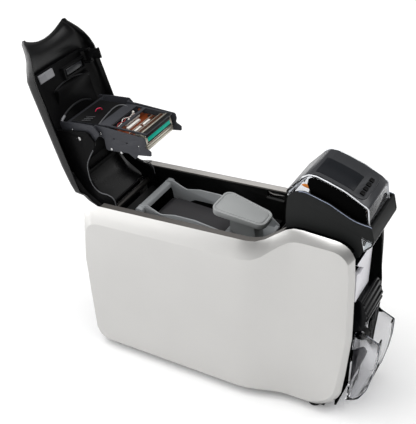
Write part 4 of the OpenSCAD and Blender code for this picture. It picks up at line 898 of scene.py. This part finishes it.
@dataclass
class Lid(Assembly):
    """The lid's shell and frame with its latch and guides; places are those of the shut lid."""

    arm_path: Outline = ((44, 206), (57, 206), (63, 212), (68, 225), (76, 231.5), (86.5, 234.4),
                                  (98, 233.6), (109, 231), (122, 221.5), (131, 212.5))
    arm_y: float = 51.2
    arm_lift: float = 0.5
    arm_radius: float = 0.8
    insert: Box = ((218.2, 6, 263.4), (227, 43, 266.9))
    insert_edge: float = 1.3
    arch: Path = ((208, -29, 264.6), (211, -14, 266.4), (212.5, 6, 266.2), (211, 26, 264.4),
                              (207, 38, 261), (204, 43, 259))
    arch_radius: float = 1.1
    bow: Path = ((168, -36, 264.2), (173, -27, 264.2), (177, -10, 264.6), (178, 6, 264.6),
                             (175.5, 24, 264.4), (170, 36, 264.2))
    bow_radius: float = 1.7
    # painted highlight: the pale spot at the near end of the bow
    bow_highlight: Path = ((168.5, -35.5, 263.6), (170.5, -32.5, 263.2), (173, -27, 263))
    bow_highlight_radius: float = 1.9

    def skins(self) -> Sequence[Skin]:
        """The lid's nodes."""
        return (
            Skin("lid_shell", LID_BLACK, 0), Skin("lid_frame", LINER_BLACK), Skin("lid_window", PLATE_PALE),
            Skin("lid_latch", LATCH_BLACK), Skin("film_guide", LATCH_BLACK), Skin("float_pins", SHAFT_STEEL))

    def fit_out(self) -> None:
        """The beads along the arms' edges, a painted highlight, the pocket's insert, and the liner's two
        arches with a pale spot at the bow's end, also a painted highlight.
        """
        # painted highlight: grey beads for the shine along the liner arms' edges
        bead = Maker("lid", GREY_AND_PAINTED_HIGHLIGHT, "lid_black", in_lid=True)
        path = beside(self.arm_path, -self.arm_y, self.arm_lift)
        bead.pair("arm_bead", 2 * self.arm_y, bead.wire, path, self.arm_radius)
        gloss = Maker("lid", POCKET_GLOSS, "lid_black", in_lid=True)
        gloss.block("pocket_insert", *self.insert, self.insert_edge)
        ridge = Maker("lid", RIDGE_BLACK, "lid_black", in_lid=True)
        ridge.wire("liner_arch", self.arch, self.arch_radius)
        ridge.wire("liner_bow", self.bow, self.bow_radius)
        # painted highlight: a short pale wire at the bow's near end
        pale = Maker("lid", PLATE_PALE, "pale_plate", in_lid=True)
        pale.wire("bow_clip", self.bow_highlight, self.bow_highlight_radius)


@dataclass
class HeadUnit(Assembly):
    """The carrier with its print head, board, connectors and springs; places are those of the open lid."""

    board_z: float = 338.2
    board_sink: float = 0.1
    chip: Spot = (3.2, 4.2, 1.3)
    chips: Outline = ((70, -27), (70, -19), (66, 24), (70, 17), (51, -14), (56, 26))
    flex_brown: Box = ((61.5, -30, 0), (64.6, 30, 0.9))   # over the board, as are the next two
    flex_foot: Box = ((66.5, -4, 0), (71.5, 14, 0.7))
    flex_clamp: Box = ((58.6, -30, 0), (59.6, 30, 1.5))
    flex_edge: float = 0.15
    peg: Pin = Pin(1.3, 7.6)
    peg_place: Flat = (44, -6)
    cap: Pin = Pin(1.6, 7.6)
    cap_place: Flat = (37.5, 16)
    red: Path = ((40, -29, 1), (37, -22, 5), (41, -13, 6.2), (37, -2, 5), (41, 10, 4), (38, 20, 1))
    red_radius: float = 0.55
    white: Path = ((37, -28, 1), (40, -18, 5.4), (36, -8, 6), (40, 4, 5), (37, 12, 4), (36, 22, 1))
    white_radius: float = 0.5

    head_flex: Box = ((71.6, -31, 342.4), (75.2, 31, 343.7))
    foot_strip: Box = ((79.4, -31, 340.4), (81.0, 31, 346.6))
    # painted shade: a black bar where the carrier's foot shows a dark groove
    foot_bar: Box = ((81.8, -31.8, 345.4), (87.0, 31.8, 347.1))
    foot_groove_shade_edge: float = 0.3
    seat_top: Outline = ((134.8, 137.2), (138.4, 137.2), (138.4, 138.4), (134.8, 138.4))   # in the shut lid
    seat_low: Outline = ((127.6, 137.2), (129.2, 137.2), (129.2, 138.4), (127.6, 138.4))
    seat_half: float = 30.2

    pocket_z: float = 343.2
    arch: Path = ((15, -34, 0), (11, -16, 0), (8, 2, 0), (6.5, 18, 0), (9, 27, 0), (16, 29.5, 0),
                              (24, 25, 0), (27, 16, 0))
    arch_radius: float = 1.0
    tab: Path = ((-10, -4.5, 0), (-9, -3, 2.6), (-7.5, 0, 3.4), (-6, 3, 2.6), (-5, 4.5, 0))
    tab_radius: float = 0.8
    rib: Path = ((-12, -34.6, -0.25), (-8, -32, -0.25), (-2, -28, -0.25))
    rib_radius: float = 0.35
    rib_step: float = 5.5
    rib_count: int = 3

    floor_x: float = -150 * MM
    floor_z: float = 340 * MM
    floor_half: float = 36 * MM
    floor_up: float = 0.7

    def skins(self) -> Sequence[Skin]:
        """The head unit's nodes; the floor of the carrier's pocket is black."""

        def dark(spot: Vector, up: Vector) -> bool:
            """Whether a face belongs to the pocket's floor."""
            level = up.z > self.floor_up and spot.z > self.floor_z
            return level and spot.x < self.floor_x and abs(spot.y) < self.floor_half

        return (
            Skin("head_carrier", CARRIER_GREY, second=LINER_BLACK, where=dark),
            Skin("print_head", HEAD_CREAM), Skin("heater_strip", HEATER_TEAL),
            Skin("head_board", BOARD_AMBER), Skin("head_connectors", CONNECTOR_WHITE),
            Skin("carrier_screws", SHAFT_STEEL), Skin("head_springs", SHAFT_STEEL, 0))

    def maker(self, finish: Finish, slot: str = "carrier_charcoal", in_lid: bool = False) -> Maker:
        """A maker of the carrier's pieces in one finish."""
        return Maker("head_carrier", finish, slot, in_lid)

    def fit_out(self) -> None:
        """The pocket's pieces, then those on the board and around the head."""
        self.pocket()
        self.chips_on_board()
        self.flexes()
        self.plugs_and_wires()

    def pocket(self) -> None:
        """The pocket's arch and ribs and the release tab."""
        grey = self.maker(GREY_AND_PAINTED_HIGHLIGHT)
        grey.wire("pocket_arch", above(self.arch, self.pocket_z), self.arch_radius)
        first = grey.wire("pocket_rib_0", above(self.rib, self.pocket_z), self.rib_radius)
        for number in range(1, self.rib_count):
            grey.repeat(first, f"pocket_rib_{number}", moved(y=number * self.rib_step))
        self.maker(TAB_PINK).wire("release_tab", above(self.tab, self.pocket_z), self.tab_radius)

    def on_board(self, low: Spot, high: Spot) -> Box:
        """A box over the board as one from the table, set a little into the board."""
        return (*low[:2], self.board_z - self.board_sink), (*high[:2], self.board_z + high[2])

    def chips_on_board(self) -> None:
        """One chip, copied to the places of the others."""
        (x, y), *others = self.chips
        wide, deep, high = self.chip
        box = self.on_board((x - wide / 2, y - deep / 2, 0), (x + wide / 2, y + deep / 2, high))
        black = self.maker(CHIP_BLACK)
        first = black.block("board_chip_0", *box)
        for number, (other_x, other_y) in enumerate(others, 1):
            black.repeat(first, f"board_chip_{number}", moved(other_x - x, other_y - y))

    def flexes(self) -> None:
        """The flexes with their clamp, the strips at the carrier's foot with a black bar that is painted
        shade of a groove, and the bars beside the heater.
        """
        brown = self.maker(BOARD_BROWN, "board_amber")
        brown.block("flex_brown", *self.on_board(*self.flex_brown), self.flex_edge)
        brown.block("flex_foot", *self.on_board(*self.flex_foot), self.flex_edge)
        brown.block("head_flex", *self.head_flex)
        cream = self.maker(HEAD_CREAM, "head_cream")
        cream.block("flex_clamp", *self.on_board(*self.flex_clamp))
        cream.block("foot_strip", *self.foot_strip)
        # painted shade: a black bar over the carrier's grey bar where a groove lies in shade
        self.maker(CHIP_BLACK).block("foot_bar", *self.foot_bar, self.foot_groove_shade_edge)
        bar = self.maker(CHIP_BLACK, in_lid=True)
        bar.plate("heater_seat_top", self.seat_top, -self.seat_half, self.seat_half)
        bar.plate("heater_seat_low", self.seat_low, -self.seat_half, self.seat_half)

    def plugs_and_wires(self) -> None:
        """A peg, a spring's cap and two wires over the board."""
        white = self.maker(CONNECTOR_WHITE, "connector_white")
        white.pin("plug_peg", seat(at_rear(*self.peg_place, self.board_z)), self.peg)
        white.pin("spring_cap", seat(at_rear(*self.cap_place, self.board_z)), self.cap)
        white.wire("wire_white", above(self.white, self.board_z), self.white_radius)
        red = self.maker(WIRE_RED, "connector_white")
        red.wire("wire_red", above(self.red, self.board_z), self.red_radius)


@dataclass
class Cartridge(Assembly):
    """The ribbon cartridge with its grip, spools and film."""

    frame_edge: float = 0.5 * MM
    grip_edge: float = 0.6 * MM

    def skins(self) -> Sequence[Skin]:
        """The cartridge's nodes."""
        return (
            Skin("cartridge_frame", CARTRIDGE_GREY, self.frame_edge),
            InsetSkin("cartridge_grip", GRIP_GREY, self.grip_edge), Skin("supply_spool", FILM_DARK),
            Skin("take_up_spool", FILM_DARK, 0), Skin("ribbon_film", FILM_DARK, 0))


@dataclass
class Feeder(Assembly):
    """The card feeder's housing, weight, gate and pick roller."""

    cheek_y: float = 43.0
    edge_start: float = 304.0
    edge_low: float = 303.0
    bead_inset: float = 0.301
    bead_radius: float = 0.45

    def skins(self) -> Sequence[Skin]:
        """The feeder's nodes."""
        return (
            Skin("feeder_housing", FEEDER_BLACK), Skin("feeder_lip", LIP_CLEAR),
            Skin("pick_roller", ROLLER_RUBBER), Skin("pick_motor", MOTOR_STEEL),
            Skin("card_weight", WEIGHT_BLACK), Skin("card_gate", AMBER))

    def fit_out(self) -> None:
        """The light beads along the cheeks' top edges, a painted highlight."""
        low, start_x = self.edge_low, self.edge_start
        path = outline_of("feeder_housing", self.cheek_y, lambda x, z: z > low and x > start_x)
        # painted highlight: light beads that trace the shine on the cheeks' top edges
        bead = Maker("root", PANE_PAINTED_HIGHLIGHT, "feeder_black")
        y = self.cheek_y - self.bead_inset
        bead.pair("cheek_bead", 2 * y, bead.wire, beside(path, -y), self.bead_radius)


@dataclass
class Hood(Assembly):
    """The smoked hood with its panel, display and buttons."""

    cover_edge: float = 0.4 * MM
    side_y: float = 36.0
    bead_radius: float = 0.8
    bead_low: float = 334.0   # the beads run over this Z
    nose_start: float = 385.0
    nose_low: float = 301.0
    mask: Outline = ((314, 344), (317, 346.6), (324, 347), (339, 343.2), (360, 336.8), (382, 326.6),
                              (388, 321.4), (391.5, 303), (380, 303.5), (348, 317), (322, 324.4), (316, 330),
                              (313, 337))
    mask_proud: float = 0.15
    mask_edge: float = 0.1
    gate: Outline = ((305.5, 334), (309, 336), (314, 336.4), (320, 334.4), (323, 331.6), (319, 330.4),
                              (312, 331.4), (307.5, 332.6))
    gate_proud: float = 0.08
    gate_edge: float = 0.05
    plate_depth: float = 0.5
    keys: tuple[str, ...] = ("back", "up", "down", "select")
    roof_up: float = 0.25
    roof_side: float = 0.7
    roof_low: float = 322 * MM

    def skins(self) -> Sequence[Skin]:
        """The hood's nodes; its roof is dark and its sides are clear."""
        keys = tuple(Skin("button_" + name, BUTTON_BLACK) for name in self.keys)

        def roof(spot: Vector, up: Vector) -> bool:
            """Whether a face belongs to the roof."""
            return abs(up.z) > self.roof_up and abs(up.y) < self.roof_side and spot.z > self.roof_low

        return (
            Skin("hood_cover", HOOD_SMOKE, self.cover_edge, second=HOOD_TOP, where=roof),
            Skin("hood_panel", PANEL_BLACK), Skin("display_screen", DISPLAY_GLASS), *keys)

    def fit_out(self) -> None:
        """The bright beads on the hood's edges, a painted highlight, and the plates on its sides, of which
        the black ones are painted shade.
        """
        # painted highlight: bright beads along the hood's upper edge and nose
        bead = Maker("hood", HOOD_PAINTED_HIGHLIGHT, "hood_smoke")
        path = beside(outline_of("hood_cover", self.side_y, self.on_edge), -self.side_y)
        bead.pair("hood_bead", 2 * self.side_y, bead.wire, path, self.bead_radius)
        inner = self.side_y - self.plate_depth
        # painted shade: black plates over the hood's sides where the dark inside shows through
        black, outer = Maker("hood", PAINTED_SHADE_BLACK, "hood_smoke"), self.side_y + self.mask_proud
        black.pair("hood_mask", outer + inner, black.plate, self.mask, -outer, -inner, self.mask_edge)
        orange, outer = Maker("hood", GATE_ORANGE, "gate_amber"), self.side_y + self.gate_proud
        orange.pair("gate_mark", outer + inner, orange.plate, self.gate, -outer, -inner, self.gate_edge)

    def on_edge(self, x: float, z: float) -> bool:
        """Whether a point of the hood's side belongs to its upper edge or its nose."""
        return z > (self.bead_low if x < self.nose_start else self.nose_low)


# ----- studio -----


def looking(way: Vector) -> Euler:
    """The turn of a camera or a lamp that looks along a way."""
    return way.to_track_quat("-Z", "Y").to_euler()


@dataclass(frozen=True)
class Lamp:
    """A square lamp that points at the object: its place and side in metres, its power in watts."""

    name: str
    place: Vector
    size: float
    power: float


LAMPS = (
    Lamp("rim", Vector((1.5, 1.3, 1.9)), 1.0, 8),
    Lamp("side", Vector((-1.25, -1.5, 0.75)), 1.2, 8),
    Lamp("graze", Vector((-2.2, -0.75, 0.5)), 0.8, 22),
)


@dataclass
class Studio:
    """A white floor, soft lamps and the camera."""

    eye: Vector = Vector((0.4859, -0.9421, 0.9224))
    target: Vector = Vector((-0.0710, 0.1217, 0.1400))
    lens: float = 79.63
    floor_size: float = 12.0
    floor_white: float = 0.9
    floor_roughness: float = 0.9
    floor_specular: float = 0.1
    floor_lift: float = 0.15
    fill: float = 0.45
    band: Outline = ((0.0, 0.5), (0.1, 0.12), (0.52, 0.16), (0.74, 1.0))   # height in the world, grey
    sun_from: Vector = Vector((-0.28, -0.22, 1.0))
    sun_strength: float = 1.6
    sun_angle: float = 55.0
    aim: Vector = Vector((0, 0, 0.2))

    def build(self) -> None:
        """Sets the camera, the floor, the world and the lamps."""
        bpy.context.scene.view_settings.view_transform = "Standard"
        self.camera()
        self.floor()
        self.world()
        self.sun()
        for lamp in LAMPS:
            self.hang(lamp)

    def camera(self) -> None:
        """Places the camera and makes it the scene's own."""
        camera = start(bpy.ops.object.camera_add, location=self.eye, rotation=looking(self.target - self.eye))
        camera.data.lens = self.lens
        bpy.context.scene.camera = camera

    def floor(self) -> None:
        """Lays a white floor that keeps the object's shadow."""
        plane = start(bpy.ops.mesh.primitive_plane_add, size=self.floor_size)
        plane.name = "floor"
        material = bpy.data.materials.new("floor_white")
        material.use_nodes = True
        tree = material.node_tree
        tree.nodes.clear()
        seen = add_node(tree, "LightPath").outputs["Is Camera Ray"]
        lift = add_node(tree, "Math", {0: seen, 1: self.floor_lift}, operation="MULTIPLY")
        wires = {
            "Base Color": (*[self.floor_white] * 3, 1), "Roughness": self.floor_roughness,
            "Specular IOR Level": self.floor_specular, "Emission Strength": lift.outputs[0],
        }
        add_node(tree, "OutputMaterial", {"Surface": add_node(tree, "BsdfPrincipled", wires).outputs[0]})
        plane.data.materials.append(material)

    def world(self) -> None:
        """Makes a white surround, and dark walls with a white ceiling for what mirrors."""
        world = bpy.data.worlds.new("studio")
        bpy.context.scene.world = world
        world.use_nodes = True
        tree = world.node_tree
        tree.nodes.clear()
        way = add_node(tree, "TexCoord").outputs["Generated"]
        rise = add_node(tree, "SeparateXYZ", {0: way}).outputs["Z"]
        band = add_node(tree, "ValToRGB", {"Fac": rise})
        stops = band.color_ramp.elements
        for number, (height, grey) in enumerate(self.band):
            stop = stops[number] if number < len(stops) else stops.new(height)
            stop.position = height
            stop.color = (grey, grey, grey, 1)
        path = add_node(tree, "LightPath")
        wires = {0: path.outputs["Is Camera Ray"], 1: path.outputs["Is Transmission Ray"]}
        seen = add_node(tree, "Math", wires, operation="MAXIMUM")
        soft = add_node(tree, "Background", {"Color": (1, 1, 1, 1), "Strength": self.fill})
        mirrored = add_node(tree, "Background", {"Color": band.outputs["Color"]})
        white = add_node(tree, "Background", {"Color": (1, 1, 1, 1)})
        wires = {0: path.outputs["Is Glossy Ray"], 1: soft.outputs[0], 2: mirrored.outputs[0]}
        mix = add_node(tree, "MixShader", wires)
        wires = {0: seen.outputs[0], 1: mix.outputs[0], 2: white.outputs[0]}
        add_node(tree, "OutputWorld", {"Surface": add_node(tree, "MixShader", wires).outputs[0]})

    def sun(self) -> None:
        """Lights object and floor evenly, with wide soft shadows."""
        sun = start(bpy.ops.object.light_add, type="SUN", rotation=looking(-self.sun_from))
        sun.data.energy = self.sun_strength
        sun.data.angle = math.radians(self.sun_angle)

    def hang(self, lamp: Lamp) -> None:
        """Hangs a lamp.

        Args:
            lamp: its sizes.
        """
        way = looking(self.aim - lamp.place)
        light = start(bpy.ops.object.light_add, type="AREA", location=lamp.place, rotation=way)
        light.name = lamp.name
        light.data.size = lamp.size
        light.data.energy = lamp.power


def main() -> None:
    """Builds the studio and every sub-assembly."""
    logging.basicConfig(level=logging.INFO, format="%(message)s")
    Studio().build()
    for part in (Casing(), FrontEnd(), CardPath(), Lid(), HeadUnit(), Cartridge(), Feeder(), Hood()):
        log.info("building %s", type(part).__name__)
        part.build()


if __name__ == "__main__":
    main()
